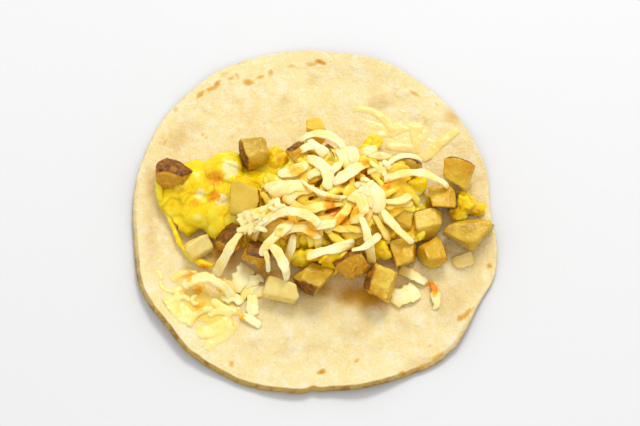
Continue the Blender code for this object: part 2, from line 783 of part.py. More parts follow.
def main():
    clear_scene()
    tortilla = make_tortilla()
    potatoes = [make_chunk(number, *chunk) for number, chunk in enumerate(CHUNKS, 1)]
    egg = make_egg(potatoes)
    make_right_curds(potatoes)
    ground = HeightMap([tortilla, egg, *potatoes])
    on_tortilla = HeightMap([tortilla])
    cheese = cut_clear(make_cheese(ground), [egg, tortilla, *potatoes], share=0.68)
    front = make_melted("melted_cheese_front", FRONT_FILM, FRONT_SHREDS, on_tortilla)
    back = make_melted("melted_cheese_back", BACK_FILM, BACK_SHREDS, on_tortilla)
    for patch in (front, back):
        cut_clear(patch, [cheese, egg, tortilla, *potatoes], share=0.8)
    for number, shape in enumerate(LOOSE_FLAKES, 1):
        name = f"cheese_flake_{number}"
        flake = lay_shred(name, on_tortilla, shape, MELTED_THICKNESS, -GAP, "melted_cheese")
        cut_clear(flake, [tortilla, *potatoes])


main()
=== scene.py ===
"""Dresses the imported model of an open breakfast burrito: a flour tortilla with scrambled egg, roast potato
and grated cheese on it.

Every surface is worked out in millimetres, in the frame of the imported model, and made in metres.
+X runs along the heap to the right, +Y to the back and +Z up.
"""

import itertools
import json
import math
import random

import bpy
import numpy as np
from mathutils import Euler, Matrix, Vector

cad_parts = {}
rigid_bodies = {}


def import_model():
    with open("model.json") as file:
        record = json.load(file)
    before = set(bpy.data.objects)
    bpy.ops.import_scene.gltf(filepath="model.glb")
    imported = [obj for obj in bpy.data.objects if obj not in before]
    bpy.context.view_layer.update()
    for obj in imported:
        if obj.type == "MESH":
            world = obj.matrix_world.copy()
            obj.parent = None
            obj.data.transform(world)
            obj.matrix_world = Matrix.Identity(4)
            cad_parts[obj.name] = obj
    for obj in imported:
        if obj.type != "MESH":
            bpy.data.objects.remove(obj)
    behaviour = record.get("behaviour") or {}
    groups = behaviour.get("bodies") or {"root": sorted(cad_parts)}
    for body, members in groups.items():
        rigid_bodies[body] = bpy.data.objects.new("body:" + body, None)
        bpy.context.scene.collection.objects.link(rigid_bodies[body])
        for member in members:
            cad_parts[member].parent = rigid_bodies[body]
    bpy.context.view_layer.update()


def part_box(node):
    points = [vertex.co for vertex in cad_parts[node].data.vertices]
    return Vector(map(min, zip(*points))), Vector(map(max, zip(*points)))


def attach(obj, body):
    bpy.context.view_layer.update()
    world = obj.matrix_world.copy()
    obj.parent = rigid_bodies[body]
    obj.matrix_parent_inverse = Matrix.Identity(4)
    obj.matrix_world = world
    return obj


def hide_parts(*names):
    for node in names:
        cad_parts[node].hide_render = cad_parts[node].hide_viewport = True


bl_info = {
    "name": "Open Breakfast Burrito",
    "version": (1, 0, 0),
    "blender": (4, 5, 0),
    "location": "3D View > Sidebar > Burrito",
    "description": "Makes an open burrito with egg, roast potato and grated cheese",
    "category": "Add Mesh",
}

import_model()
BODY = "root"
MM = 0.001

# Tortilla
TORTILLA_CENTRE = (0.5, 0.0)
EDGE_THICKNESS = 1.3
EDGE_ROLL = 2.4  # how much wider than thick the rounded edge is at the front
RIM_START = 0.80  # share of the radius where the rim begins to lift
FRONT_LEAN = 0.35  # the angle, in radians, by which the rolled edge and its band of painted shade are off the front
SPOKES, UNDER_RINGS, TOP_RINGS, EDGE_RINGS = 360, 36, 128, 6
# angle, bulge of the outline, half width of the bulge in degrees
EDGE_BULGES = np.array((
    (2, -3.4, 9), (25, -1.6, 16), (55, -0.8, 12), (82, -2.4, 11), (122, 1.8, 10), (146, 2.6, 14),
    (168, 0.8, 8), (206, 3.2, 11), (230, 2.8, 10), (247, 1.4, 8), (274, -2.2, 8), (312, 5.6, 14),
    (341, 3.4, 8),
))
# angle, depth and half width in degrees of the small nicks in the outline
NICKS = np.array(((269.5, -1.4, 1.3), (301, -0.6, 1.6), (232, -0.5, 1.4), (196, -0.4, 1.2), (96, -0.5, 1.5)))
# angle, lift of the rim over the surface, half width in degrees
RIM_LIFTS = np.array((
    (25, 2.6, 14), (75, 3.2, 20), (128, 2.0, 16), (172, 3.0, 16), (218, 5.2, 22), (262, 2.6, 10),
    (285, 4.4, 12), (322, 3.4, 14), (352, 2.6, 8),
))
# angle, depth, half width in degrees of the short creases that run in from the rim
CREASES = np.array((
    (3, -0.7, 1.6), (8, 0.5, 1.6), (12.5, -0.6, 1.3), (17, -0.3, 1.2), (357, -0.4, 1.4), (200, -0.3, 1.8),
    (182, -0.4, 2.0), (283, -0.5, 2.2), (318, -0.4, 2.5), (60, -0.3, 2.2),
))
# x, y, radius, height of each blister
BLISTERS = np.array((
    (38, 70, 9, 1.5), (50, 74, 5, 0.9), (66, 58, 6, 1.1), (-6, 66, 8, 1.0), (4, 84, 7, 0.9),
    (-66, 60, 8, 0.9), (-45, 72, 7, 0.8), (-30, 82, 6, 0.8), (22, -64, 8, 1.2), (34, -72, 6, 0.9),
    (0, -78, 7, 0.9), (56, -60, 7, 1.0), (-14, -66, 7, 0.8), (80, -48, 5, 0.8), (-96, 12, 5, 0.7),
))
# x, y, half length, half width, heading, strength of each toasted mark
TOASTED = np.array((
    (4, 92, 4.2, 1.6, -25, 1.0), (-2, 91, 3.6, 2.0, 0, 0.5), (-13, 90, 2.8, 1.4, 0, 0.5),
    (-25, 86, 1.7, 3.0, 0, 0.5), (-31, 83, 3.6, 1.5, 22, 0.6), (-38, 80, 3.6, 3.0, -10, 0.8),
    (-44, 84, 2.0, 2.4, 30, 0.45), (-48, 82, 3.2, 1.5, 10, 0.45), (-56, 78, 1.8, 3.6, -30, 0.8),
    (-60, 75, 3.0, 1.6, 20, 0.7), (-65, 72, 3.4, 1.9, 50, 0.85), (-74, 70, 2.2, 2.4, 45, 0.4),
    (-79, 63, 2.0, 2.6, 0, 0.35), (-51, 85, 4.0, 1.8, 30, 0.35), (-42, 92, 4.0, 1.4, 20, 0.3),
    (-63, 48, 0.9, 0.9, 0, 0.6), (-61, 46, 0.8, 0.8, 0, 0.55), (-84, 43, 1.4, 3.0, -25, 0.5),
    (-90, -8, 1.2, 2.2, 0, 0.4), (57, 73, 5.4, 1.2, -35, 0.45), (70, 66, 1.4, 1.4, 0, 0.7),
    (-44, -84, 1.7, 2.6, 0, 0.6), (4, -88, 3.0, 1.8, 15, 0.95), (23, -82, 1.8, 1.7, 0, 0.55),
    (47, -90, 2.2, 2.8, 20, 0.75), (82, -57, 5.6, 1.5, 42, 0.85), (79, -59, 2.4, 1.8, 42, 0.9),
    (96, -29, 1.7, 1.9, 0, 0.85), (56, -86, 9.0, 1.6, 27, 0.6), (66, -80, 6.0, 1.6, 32, 0.5),
    (86, 4, 1.4, 1.2, 0, 0.3), (62, -74, 2.0, 1.6, 0, 0.4),
))
# the same of each wide, faint blotch
BLOTCHED = np.array((
    (-62, 62, 5.0, 2.6, -35, 0.6), (-49, 74, 4.0, 3.0, 0, 0.35), (-17, 68, 4.0, 8.0, -20, 0.45),
    (-1, 83, 7.0, 5.0, 60, 0.4), (-76, 45, 10.0, 7.0, 60, 0.7), (-70, 52, 9.0, 5.0, 10, 0.4),
    (-86, 44, 3.0, 6.0, 0, 0.45), (-91, 20, 4.0, 12.0, 0, 0.5), (-90, -14, 4.5, 18.0, 5, 0.45),
    (-72, 0, 12.0, 12.0, 0, 0.2), (38, 68, 9.0, 7.0, 20, 0.6), (35, 74, 5.0, 8.0, 20, 0.35),
    (78, 58, 4.5, 8.0, 30, 0.8), (58, 58, 8.0, 3.5, -25, 0.35), (84, 40, 8.0, 5.0, -40, 0.25),
    (0, -74, 9.0, 4.5, 0, 0.45), (-16, -77, 7.0, 3.5, 15, 0.35), (21, -65, 10.0, 9.0, 0, 0.3),
    (-33, -73, 6.0, 3.5, 0, 0.35), (48, -62, 4.0, 8.0, 30, 0.4), (74, -50, 16.0, 12.0, 40, 0.45),
    (84, -42, 8.0, 12.0, -15, 0.35), (56, -84, 10.0, 4.0, 27, 0.5), (12, -52, 30.0, 8.0, 0, 0.3),
    (90, -4, 8.0, 12.0, 0, 0.3), (-40, 60, 9.0, 6.0, 20, 0.2), (20, 62, 14.0, 7.0, 0, 0.2),
    (92, 22, 5.0, 12.0, 10, 0.25),
))
# x, y, radius, strength of each place where fat has soaked in
OILED = np.array((
    (74, -20, 6, 0.9), (-60, -36, 14, 0.6), (-50, -52, 14, 0.5), (64, -42, 5, 0.9), (0, -42, 20, 0.35),
    (45, -36, 16, 0.35), (84, 12, 12, 0.35), (-88, 4, 8, 0.4), (40, 46, 24, 0.3), (66, 44, 14, 0.3),
    (-30, -42, 16, 0.4),
))
# x, y, half length, half width, heading, strength of each place of painted shadow, dark and saturated, along
# and under the heap's foot
PAINTED_FOOT_SHADOW = np.array((
    (28, -46, 22, 8, -6, 1.0), (2, -42, 12, 5, -10, 0.7), (-20, -37, 14, 4, 10, 0.5),
    (-50, -22, 12, 8, -30, 0.9), (-72, -2, 8, 5, -50, 0.5), (-26, -34, 14, 6, 5, 0.8),
    (16, 4, 50, 22, 0, 0.25), (-70, -58, 10, 2.5, -50, 0.5),
))

# Scrambled egg
HEAP_CENTRE = (-2.0, 3.0)
HEAP_HALF_LENGTH, HEAP_HALF_WIDTH = 66.0, 27.0
HEAP_TURN = -5.0
HEAP_SPOKES, HEAP_ROWS = 160, 40
# share of the outline and height that the mound is drawn through
HEAP_LEVELS = np.array((
    (0.0, 2.2), (1.0, 2.35), (1.02, 6.0), (0.95, 9.5), (0.82, 12.5), (0.60, 14.6), (0.30, 15.6),
))
EGG_FLOOR = 2.2  # nothing of the egg goes below this height
EGG_VOXEL, CURD_VOXEL, EGG_ROUNDS = 0.62, 0.4, 3
CURDS_START = -32.0  # the crumbly curds begin here; left of it the egg is smooth
SMALL_CURDS = (70, 5)  # number and seed
# share of the mound's outline and the height at which a small curd lies there
CURD_LEVELS = ((0.3, 0.6, 0.82, 0.95, 1.0), (15, 14, 12, 9, 5))
# x, y, middle height, half sizes along x, y and z, turn
EGG_LOBES = (
    (-76, 8, 7.0, 12, 12, 5.2, 20), (-65, 17, 9.0, 16, 12, 7.0, -25), (-61, 3, 8.0, 17, 12, 6.6, -20),
    (-50, 23, 10.0, 13, 12, 8.0, 30), (-52, 12, 11.0, 14, 12, 6.5, 0), (-70, -4, 5.6, 9, 8, 4.0, -35),
    (-43, 14, 13.0, 10, 9, 5.5, 40), (-25, 15, 13.5, 9, 7, 5.5, 15), (-22, 30, 10.0, 9, 7, 6.0, -20),
    (46, 9, 13.5, 12, 7, 5.5, 18), (57, 13, 11.5, 7, 5, 5.0, 60), (9, -31, 9.5, 7, 5, 6.0, 25),
    (-6, -27, 9.0, 8, 5, 6.0, -10), (33, 40, 6.6, 6, 4, 4.2, 60), (28, 33, 7.5, 8, 6, 5.0, 10),
    (56, -11, 9.0, 8, 6, 5.0, 70), (36, -22, 10.0, 7, 5, 5.5, -30), (2, 33, 9.0, 9, 6, 6.0, -20),
    (7, -28, 16.4, 6, 4.2, 3.2, 25), (-1, -27, 15.0, 5, 4, 3.4, -15), (14, -27, 14.6, 5, 3.6, 3.2, 50),
)
RIGHT_LOBES = (
    (84, 5, 7.0, 6, 7, 4.6, 20), (90, 2, 5.2, 4, 4, 3.0, 30), (80, 0, 5.6, 5, 5, 3.4, -20),
)
# x, y, z and radius along the middle of the pulled yolk string
YOLK_STRING = np.array((
    (-84.5, 16, 12.0, 2.6), (-84, 9, 9.0, 1.9), (-80, 0, 6.0, 1.5), (-76, -9, 4.4, 1.4),
    (-72, -18, 4.2, 1.6), (-66, -25, 4.4, 2.0), (-59, -29, 5.0, 2.4), (-54, -30, 5.2, 1.4),
))
STRING_SIDES, STRING_STEPS = 16, 70
# x, y, radius, strength of the white places in the egg, and then of the browned ones
EGG_WHITES = np.array((
    (-63, 8, 5, 0.8), (-46, 22, 7, 0.9), (-50, 5, 5, 0.9), (-64, -4, 4, 0.6), (57, 6, 5, 1.0),
    (-37, 26, 6, 0.6), (8, -30, 5, 0.4),
))
EGG_BROWNED = np.array((
    (-54, 17, 6, 0.7), (-55, 7, 5, 0.8), (-66, 4, 4, 0.6), (-72, 10, 3.5, 0.6), (-60, -33, 4, 1.0),
    (-61, 22, 4, 0.4), (40, 11, 4, 0.7), (-20, 30, 6, 0.5),
))

# Potato chunks, cut from small potatoes. Local +X is the skin side before turning.
POTATO_RADIUS = 23.0
CUT_TILT = 17  # degrees by which a cut may be off square
CHIPPED = (0.68, 0.93)  # share of a corner's distance at which it is chipped off
OUT_OF_REACH = 400.0
# depth under the skin, width, height, yaw, pitch, taper, finish, roundness of the edges
CHUNKS = (
    (11, 18, 12, 75, -58, 2, "roasted", 13), (13.5, 13, 11.5, 200, -12, 6, "olive", 20),
    (15, 16, 14, -8, 6, 3, "pale", 26), (10, 14, 6.5, 118, -8, 4, "cream", 20),
    (9, 13, 12, 150, -50, 2, "roasted", 13), (9, 13, 11, 60, -60, 3, "roasted", 13),
    (19, 11, 6, 165, 0, 16, "cream", 22), (15, 13, 11, 235, -6, 4, "olive", 22),
    (13, 13, 13, 115, -24, 4, "roasted", 15), (15, 15, 10, 160, -14, 3, "crisp", 14),
    (13, 12, 11, 95, 0, 5, "golden", 20), (12, 12, 10, 20, 4, 5, "golden", 20),
    (12, 12, 11, 100, 8, 8, "pale", 18), (12, 11, 10, 10, -10, 6, "golden", 18),
    (13, 14, 11, 70, -14, 5, "golden", 20), (15.2, 20.5, 10.5, 98, 3, 42, "olive", 28),
    (10, 11, 9, 85, 5, 4, "pale", 20), (12, 8, 12, 95, -50, 5, "tender", 16),
    (9, 10, 9, 120, -40, 5, "crisp", 14), (13, 13, 11, 70, -20, 4, "olive", 18),
    (9, 9, 9, 40, -30, 5, "crisp", 14), (9, 8, 8, 20, 6, 5, "golden", 18),
)
CHUNK_STEPS = 26
CHIPPED_CORNERS = 7
FOOT_LEVEL = 5.0  # a piece whose box starts under this height stands on the tortilla, the others sink in
CHUNK_SHARPNESS = 1.8  # times the roundness in the table
CHUNK_SWELL = 1.1  # makes up for what the slanting cuts and chips take away

# Grated cheese
SHRED_SINK = 0.9  # how far a shred presses into what it lies on
DROOP = 0.060  # curvature per millimetre of a shred that hangs between the places that hold it
STEEPEST = 0.85  # fall over run, beyond which a shred reaches out over a drop
SHRED_GIVE = 0.9  # how far a shred gives way to the next one on it
GROOVE_DEPTH = 0.34  # of half a strand's height
STRAND_SIDES = 24
FIRM_THICKNESS = 1.7  # of the shreds that lie on the tortilla
CHEESE_VOXEL, CHEESE_ROUNDS = 0.6, 5
BLANKET_GRID, FILM_GRID = (260, 70), (220, 84)  # spokes and rows
# centre, half length, half width, turn and rise of the blanket of melted cheese under the shreds
BLANKET = (11.0, 6.0, 46.0, 28.0, 6.0, 1.8)
BLANKET_SINK = 3.0
BLANKET_FLOOR = 2.4  # nothing of the blanket goes below this height
SETTLED_FROM, SETTLED_TO = 18.0, 0.6  # what stands over this height is lowered to this share of itself
# share of the blanket's outline and of its rise
BLANKET_LEVELS = ((1.0, 0.0), (0.86, 0.6), (0.66, 1.0), (0.45, 1.0), (0.22, 1.0))
# x, y, heading, length, bend over the whole length and width of each shred on top, in the order they lie
TOP_SHREDS = (
    (18, 26, -62, 18, -22, 9.0), (28, 3, -22, 17, -3, 7.5), (25, -4, 64, 15, 35, 6.5),
    (-11, 19, 23, 18, 26, 7.0), (-8, 7, 25, 19, -53, 6.0), (-20, 11, 0, 13, -67, 5.5),
    (3, 19, -158, 16, 26, 5.0), (46, 2, 15, 16, 55, 4.6), (-20, -12, 16, 17, -43, 5.4),
    (5, -12, 3, 16, 15, 5.0), (0, 33, -3, 18, -89, 4.6), (6, 4, -28, 20, 71, 3.0),
    (5, 40, -10, 27, -90, 4.6), (2, 32, -52, 13, -20, 4.4), (37, 32, 17, 15, 10, 5.2),
    (49, 29, 12, 23, -90, 3.6), (29, 34, 21, 13, -10, 5.6), (22, 29, -81, 12, -60, 7.0),
    (-14, 9, 12, 20, -40, 8.0), (6, 19, -60, 25, -110, 6.5), (20, 18, 35, 24, -5, 6.5),
    (12, 21, 56, 11, 0, 4.0), (56, 17, -2, 37, -55, 4.6), (4, 5, -20, 28, 70, 2.4),
    (34, 6, -60, 24, -120, 7.5), (26, -1, -73, 11, -10, 6.0), (44, -13, -49, 24, 35, 4.8),
    (-13, -23, -105, 16, 10, 5.0), (-7, -14, -7, 22, -95, 5.0), (9, -25, 16, 27, 18, 6.0),
    (29, -19, -74, 24, -12, 4.8), (29, -22, 30, 18, 40, 4.2), (-21, -18, 46, 25, -30, 5.4),
    (-17, -31, -65, 20, -50, 5.4), (-25, -31, -82, 10, 0, 2.6), (-35, -9, -56, 14, -30, 9.0),
    (-29, -4, 20, 12, 40, 6.5), (-22, -2, -8, 17, -120, 4.8), (-16, -6, 6, 42, -105, 5.2),
    (-46, -24, -124, 27, 5, 5.0),
)
# the same and the height of each shred that is melted flat into the back patch, and then the front one
BACK_SHREDS = (
    (33, 62, -24, 34, -80, 4.8, 0.9), (57, 45, -78, 17, 35, 4.8, 0.6), (73, 44, 42, 33, -18, 5.6, 1.1),
    (50, 40, -10, 18, -10, 5.2, 0.5), (62, 36, 35, 15, 30, 4.6, 0.4), (44, 50, 30, 16, 60, 4.6, 0.35),
    (36, 53, -12, 18, 40, 5.0, 0.3), (52, 52, 12, 20, -50, 4.6, 0.35), (64, 50, 60, 14, 40, 4.6, 0.3),
    (28, 52, 50, 12, 30, 5.0, 0.25),
)
FRONT_SHREDS = (
    (-89, -43, -66, 16, 49, 3.4, 0.8), (-78, -50, 22, 15, 109, 3.6, 1.3),
    (-80, -43, -24, 13, 85, 3.0, 0.8), (-74, -54, -38, 18, -6, 10, 1.0),
    (-63, -56, 38, 17, -73, 4.0, 1.9), (-66, -49, 100, 9, -168, 2.6, 1.5),
    (-53, -65, 21, 19, 42, 8.0, 1.1), (-63, -77, 0, 21, 81, 5.0, 0.7), (-50, -70, 31, 18, 35, 5.0, 0.8),
    (-71, -33, 15, 16, -62, 4.4, 1.0), (-68, -41, 9, 16, -23, 3.6, 1.0),
    (-51, -55, -2, 13, -72, 4.0, 1.1), (-34, -60, -25, 13, -8, 4.0, 0.7),
    (-28, -58, -17, 10, 28, 3.6, 0.6), (-49, -53, -27, 15, 39, 5.0, 1.0),
    (-86, -32, -29, 12, -90, 3.4, 0.6), (-71, -47, 0, 9, -104, 3.0, 1.0),
)
# the same without a height of the firm shreds on the front patch, and then of the loose flakes
FIRM_SHREDS = (
    (-34, -60, -30, 12, -8, 4.4), (-44, -48, -16, 14, 9, 5.5), (-47, -42, -45, 14, 25, 7.0),
    (-40, -36, 64, 17, 6, 9.0), (-35, -38, 24, 15, 2, 7.5), (-43, -40, -63, 8, 29, 5.0),
    (-56, -39, -15, 32, -100, 5.0), (-29, -44, 26, 8, -37, 5.0), (-35, -43, 39, 12, -11, 5.0),
    (-34, -51, -89, 14, 20, 6.2),
)
LOOSE_FLAKES = (
    (54, -35, -23, 17, 40, 5.4), (49, -46, 25, 17, 8, 8.4), (66, -46, -84, 16, -20, 4.6),
    (82, -27, 17, 12, 0, 7.0),
)
# centre, half length, half width, turn and rise of the two melted patches
FRONT_FILM = (-61, -53, 37, 24, -36, 1.0)
BACK_FILM = (52, 48, 40, 20, 4, 0.4)
FILM_LIMIT = 95.5  # the melted films stay inside this radius
FILM_EDGE = 0.3
FILM_SINK = 0.6
# number, seed, share of the blanket, lengths and widths of the strewn shreds: two layers and one on them
FILLER_SHREDS = (50, 11, 0.9, (14, 26), (4.2, 6.0))
MIDDLE_SHREDS = (30, 23, 0.84, (14, 24), (4.0, 5.8))
UPPER_SHREDS = (44, 35, 0.9, (14, 30), (3.2, 5.6))
STREWN_TURN = 80  # degrees that a strewn shred may be off the heap's length, and that it may bend
MELTED_BEHIND = 3.0  # the strewn shreds behind this place are melted into the lower layer
# x, y, radius of the places that the strewn shreds leave bare
BARE = ((-42, 10, 15), (58, -10, 12), (48, -22, 10), (62, 8, 6), (30, -30, 6), (-6, -32, 8))
# x, y, radius, number of pieces where the cheese is crumbled
CRUMBLED = ((-33, -10, 7.0, 20), (37, 22, 5, 8), (-20, -3, 4, 5), (27, 10, 5, 6))
# x, y, radius, strength of the browned places in the cheese
CHEESE_BROWNED = np.array((
    (9, -2, 7, 1.0), (22, -4, 4, 0.9), (16, -9, 6, 0.8), (29, 25, 4, 0.9), (40, 11, 4, 0.9),
    (-13, 31, 4, 0.8), (-10, 19, 6, 0.7), (-18, -17, 5, 0.6), (-2, -15, 5, 0.7), (-63, -44, 4, 0.6),
    (-39, -59, 4, 0.6), (-68, -35, 6, 0.5), (64, -42, 5, 1.0), (-62, -52, 5, 0.5),
))

# Stage
SIGHT = (3.3, 1.4, 2.0)  # the point that the camera looks at
SENSOR_WIDTH = 36.0
GAMMA = 0.88
LAMP_PLACE, LAMP_SIDES = (0.24, 1.24, 1.52), (0.75, 0.55)  # in metres
FLOOR_REACH, FLOOR_STEPS = 1500, 4

# Noise and places
OCTAVES = 3
GOLDEN_ANGLE = math.pi * (3 - math.sqrt(5))


def linear(red, green, blue):
    """A colour as the renderer reckons it, from the 0 to 255 values that a screen shows."""
    shares = [value / 255 for value in (red, green, blue)]
    return tuple(s / 12.92 if s <= 0.04045 else ((s + 0.055) / 1.055) ** 2.4 for s in shares)


# Smooth noise


def hashed(x, y, z, seed):
    """A repeatable number from -1 to 1 for each whole-number cell: its places times large primes, mixed."""
    mixed = x.astype(np.uint32) * np.uint32(73856093)
    mixed ^= y.astype(np.uint32) * np.uint32(19349663)
    mixed ^= z.astype(np.uint32) * np.uint32(83492791)
    mixed ^= np.uint32(seed * 2654435761 & 0xFFFFFFFF)
    mixed = (mixed ^ (mixed >> np.uint32(13))) * np.uint32(1274126177)
    mixed ^= mixed >> np.uint32(16)
    return (mixed & np.uint32(0xFFFF)) / 32767.5 - 1


def cloud(points, size, seed=0):
    """Smooth noise from -1 to 1: the corners of a lattice with cells of this size have random values,
    and a point takes the mean of its cell's eight corners, weighted by smooth steps along each axis."""
    tilted = points @ np.array(Euler((0.5, 0.4, 0.6 + seed)).to_matrix()).T
    scaled = tilted / size + 512.5
    cell = np.floor(scaled).astype(np.int64)
    share = scaled - cell
    share = share * share * (3 - 2 * share)
    total = np.zeros(points.shape[:-1])
    for corner in itertools.product((0, 1), repeat=3):
        weight = np.prod(np.where(corner, share, 1 - share), axis=-1)
        at = cell + np.array(corner)
        total += weight * hashed(at[..., 0], at[..., 1], at[..., 2], seed)
    return total


def fractal(points, size, seed=0):
    """Noise at this size, with half of it added at half the size, and so on."""
    total = sum(cloud(points, size / 2**k, seed + 7 * k) / 2**k for k in range(OCTAVES))
    return total / (2 - 2 ** (1 - OCTAVES))


def creased(points, size, seed=0):
    """From 0 to 1, highest along winding lines: one less the distance of smooth noise from zero, squared."""
    return np.clip(1 - 1.8 * np.abs(cloud(points, size, seed)), 0, 1) ** 2


def smooth_step(share):
    """0 below 0 and 1 above 1, with a level start and end between them."""
    share = np.clip(share, 0, 1)
    return share * share * (3 - 2 * share)


def spots(points, table, wobble=0.35, seed=3, grain=3.5):
    """The strongest of the table's spots at each point: strength times a smooth step of the share of the
    radius that is left, with the distance made uneven by noise. A row has a radius, or a half length, a
    half width and a heading."""
    away = points[..., None, :2] - table[:, :2]
    if table.shape[1] == 4:
        share = np.hypot(away[..., 0], away[..., 1]) / table[:, 2]
    else:
        turn = np.radians(table[:, 4])
        along = away[..., 0] * np.cos(turn) + away[..., 1] * np.sin(turn)
        across = away[..., 1] * np.cos(turn) - away[..., 0] * np.sin(turn)
        share = np.hypot(along / table[:, 2], across / table[:, 3])
    share = share + wobble * fractal(points, grain, seed)[..., None]
    return (table[:, -1] * smooth_step(1.25 - share)).max(axis=-1)


# Places


def turned(x, y, degrees):
    """x and y, turned about the origin."""
    lean = math.radians(degrees)
    return x * math.cos(lean) - y * math.sin(lean), x * math.sin(lean) + y * math.cos(lean)


def spiral(count, spread=1.0, start=0.0):
    """Even places over a disc of radius 1 by a golden-angle spiral: the distance from its middle, and its
    parts along and across."""
    for number in range(count):
        share = math.sqrt((number + 0.5) / count) * spread
        angle = number * GOLDEN_ANGLE + start
        yield share, share * math.cos(angle), share * math.sin(angle)


# Meshes from arrays


class Shell:
    """Points in millimetres with four- and three-sided faces, and the share along and round at each
    corner."""

    def __init__(self, points, quads, triangles, quad_uv=None, triangle_uv=None):
        self.points = points
        self.quads = quads
        self.triangles = triangles
        self.quad_uv = np.zeros((len(quads), 4, 2)) if quad_uv is None else quad_uv
        self.triangle_uv = np.zeros((len(triangles), 3, 2)) if triangle_uv is None else triangle_uv


def closed_grid(rings, first=None, last=None):
    """A closed shell from rings of points, an array of ring by place by three: a quad for each step along
    and round, and a fan on a point at each end. Each ring runs anticlockwise seen from the end."""
    count, sides = rings.shape[:2]
    first = rings[0].mean(axis=0) if first is None else np.array(first)
    last = rings[-1].mean(axis=0) if last is None else np.array(last)
    points = np.concatenate([rings.reshape(-1, 3), first[None], last[None]])
    ring = np.arange(count - 1)[:, None]
    side = np.arange(sides)[None, :]
    after = (side + 1) % sides
    this, after_this = ring * sides + side, ring * sides + after
    corners = (this, after_this, after_this + sides, this + sides)
    quads = np.stack(np.broadcast_arrays(*corners), axis=-1).reshape(-1, 4)
    pole = count * sides
    side, after = side[0], after[0]
    end = (count - 1) * sides
    start_fan = np.stack([np.full(sides, pole), after, side], axis=-1)
    end_fan = np.stack([np.full(sides, pole + 1), end + side, end + after], axis=-1)
    along = (ring + np.array([0, 0, 1, 1])[:, None, None]) / (count - 1)
    round_it = (np.arange(sides)[None, :] + np.array([0, 1, 1, 0])[:, None, None]) / sides
    along, round_it = np.broadcast_arrays(along, round_it)
    quad_uv = np.stack([along, round_it], axis=-1).transpose(1, 2, 0, 3).reshape(-1, 4, 2)
    fans = np.concatenate([start_fan, end_fan])
    fan_uv = np.zeros((len(fans), 3, 2))
    fan_uv[sides:, :, 0] = 1
    fan_uv[:, :, 1] = np.tile(np.arange(sides) / sides, 2)[:, None]
    return Shell(points, quads, fans, quad_uv, fan_uv)


def joined(shells):
    """One shell that holds all of them."""
    starts = np.cumsum([0] + [len(shell.points) for shell in shells])
    return Shell(
        np.concatenate([shell.points for shell in shells]),
        np.concatenate([shell.quads + start for shell, start in zip(shells, starts)]),
        np.concatenate([shell.triangles + start for shell, start in zip(shells, starts)]),
        np.concatenate([shell.quad_uv for shell in shells]),
        np.concatenate([shell.triangle_uv for shell in shells]),
    )


def piece_from(name, shell, material=None, values=None, with_uv=False):
    """A smooth-shaded object of the shell, with named values on its points."""
    mesh = bpy.data.meshes.new(name)
    loops = np.concatenate([shell.quads.ravel(), shell.triangles.ravel()]).astype(np.int32)
    sizes = np.concatenate([np.full(len(shell.quads), 4), np.full(len(shell.triangles), 3)])
    starts = np.concatenate([[0], np.cumsum(sizes)[:-1]]).astype(np.int32)
    mesh.vertices.add(len(shell.points))
    mesh.vertices.foreach_set("co", (shell.points * MM).astype(np.float32).ravel())
    mesh.loops.add(len(loops))
    mesh.polygons.add(len(sizes))
    mesh.polygons.foreach_set("loop_start", starts)
    mesh.polygons.foreach_set("vertices", loops)
    if with_uv:
        uv = np.concatenate([shell.quad_uv.reshape(-1, 2), shell.triangle_uv.reshape(-1, 2)])
        layer = mesh.uv_layers.new(name="strand")
        layer.data.foreach_set("uv", uv.astype(np.float32).ravel())
    mesh.update(calc_edges=True)
    mesh.shade_smooth()
    for key, numbers in (values or {}).items():
        layer = mesh.attributes.new(key, "FLOAT", "POINT")
        layer.data.foreach_set("value", np.asarray(numbers, np.float32))
    obj = bpy.data.objects.new(name, mesh)
    bpy.context.scene.collection.objects.link(obj)
    if material:
        mesh.materials.append(material)
    return obj


def points_of(obj):
    """The points of an object's mesh, in millimetres."""
    flat = np.empty(len(obj.data.vertices) * 3, np.float32)
    obj.data.vertices.foreach_get("co", flat)
    return flat.reshape(-1, 3).astype(np.float64) / MM


def fused(name, shells, voxel, rounds):
    """All the shells melted into one skin of even squares with this side, then smoothed this many times.
    Returns the shell and the outward direction at each of its points."""
    rough = piece_from(name + ".rough", joined(shells))
    remesh = rough.modifiers.new("fuse", "REMESH")
    remesh.mode = "VOXEL"
    remesh.voxel_size = voxel * MM
    soften = rough.modifiers.new("soften", "SMOOTH")
    soften.factor = 0.5
    soften.iterations = rounds
    graph = bpy.context.evaluated_depsgraph_get()
    mesh = bpy.data.meshes.new_from_object(rough.evaluated_get(graph))
    bpy.data.objects.remove(rough, do_unlink=True)
    flat = np.empty(len(mesh.vertices) * 3, np.float32)
    mesh.vertices.foreach_get("co", flat)
    points = flat.reshape(-1, 3).astype(np.float64) / MM
    mesh.vertex_normals.foreach_get("vector", flat)
    outward = flat.reshape(-1, 3).astype(np.float64)
    corners = np.empty(len(mesh.loops), np.int32)
    mesh.loops.foreach_get("vertex_index", corners)
    sizes = np.empty(len(mesh.polygons), np.int32)
    mesh.polygons.foreach_get("loop_total", sizes)
    starts = np.cumsum(sizes) - sizes
    quads = corners[starts[sizes == 4][:, None] + np.arange(4)]
    triangles = corners[starts[sizes == 3][:, None] + np.arange(3)]
    bpy.data.meshes.remove(mesh)
    return Shell(points, quads, triangles), outward


def make_piece(name, shell, material, values, slot, *nodes, with_uv=False):
    """Makes a piece with this finish that moves with the one body, and hides the parts of the model that it
    stands for.
    """
    piece = piece_from(name, shell, material, values, with_uv)
    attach(piece, BODY)
    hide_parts(*nodes)


# Materials


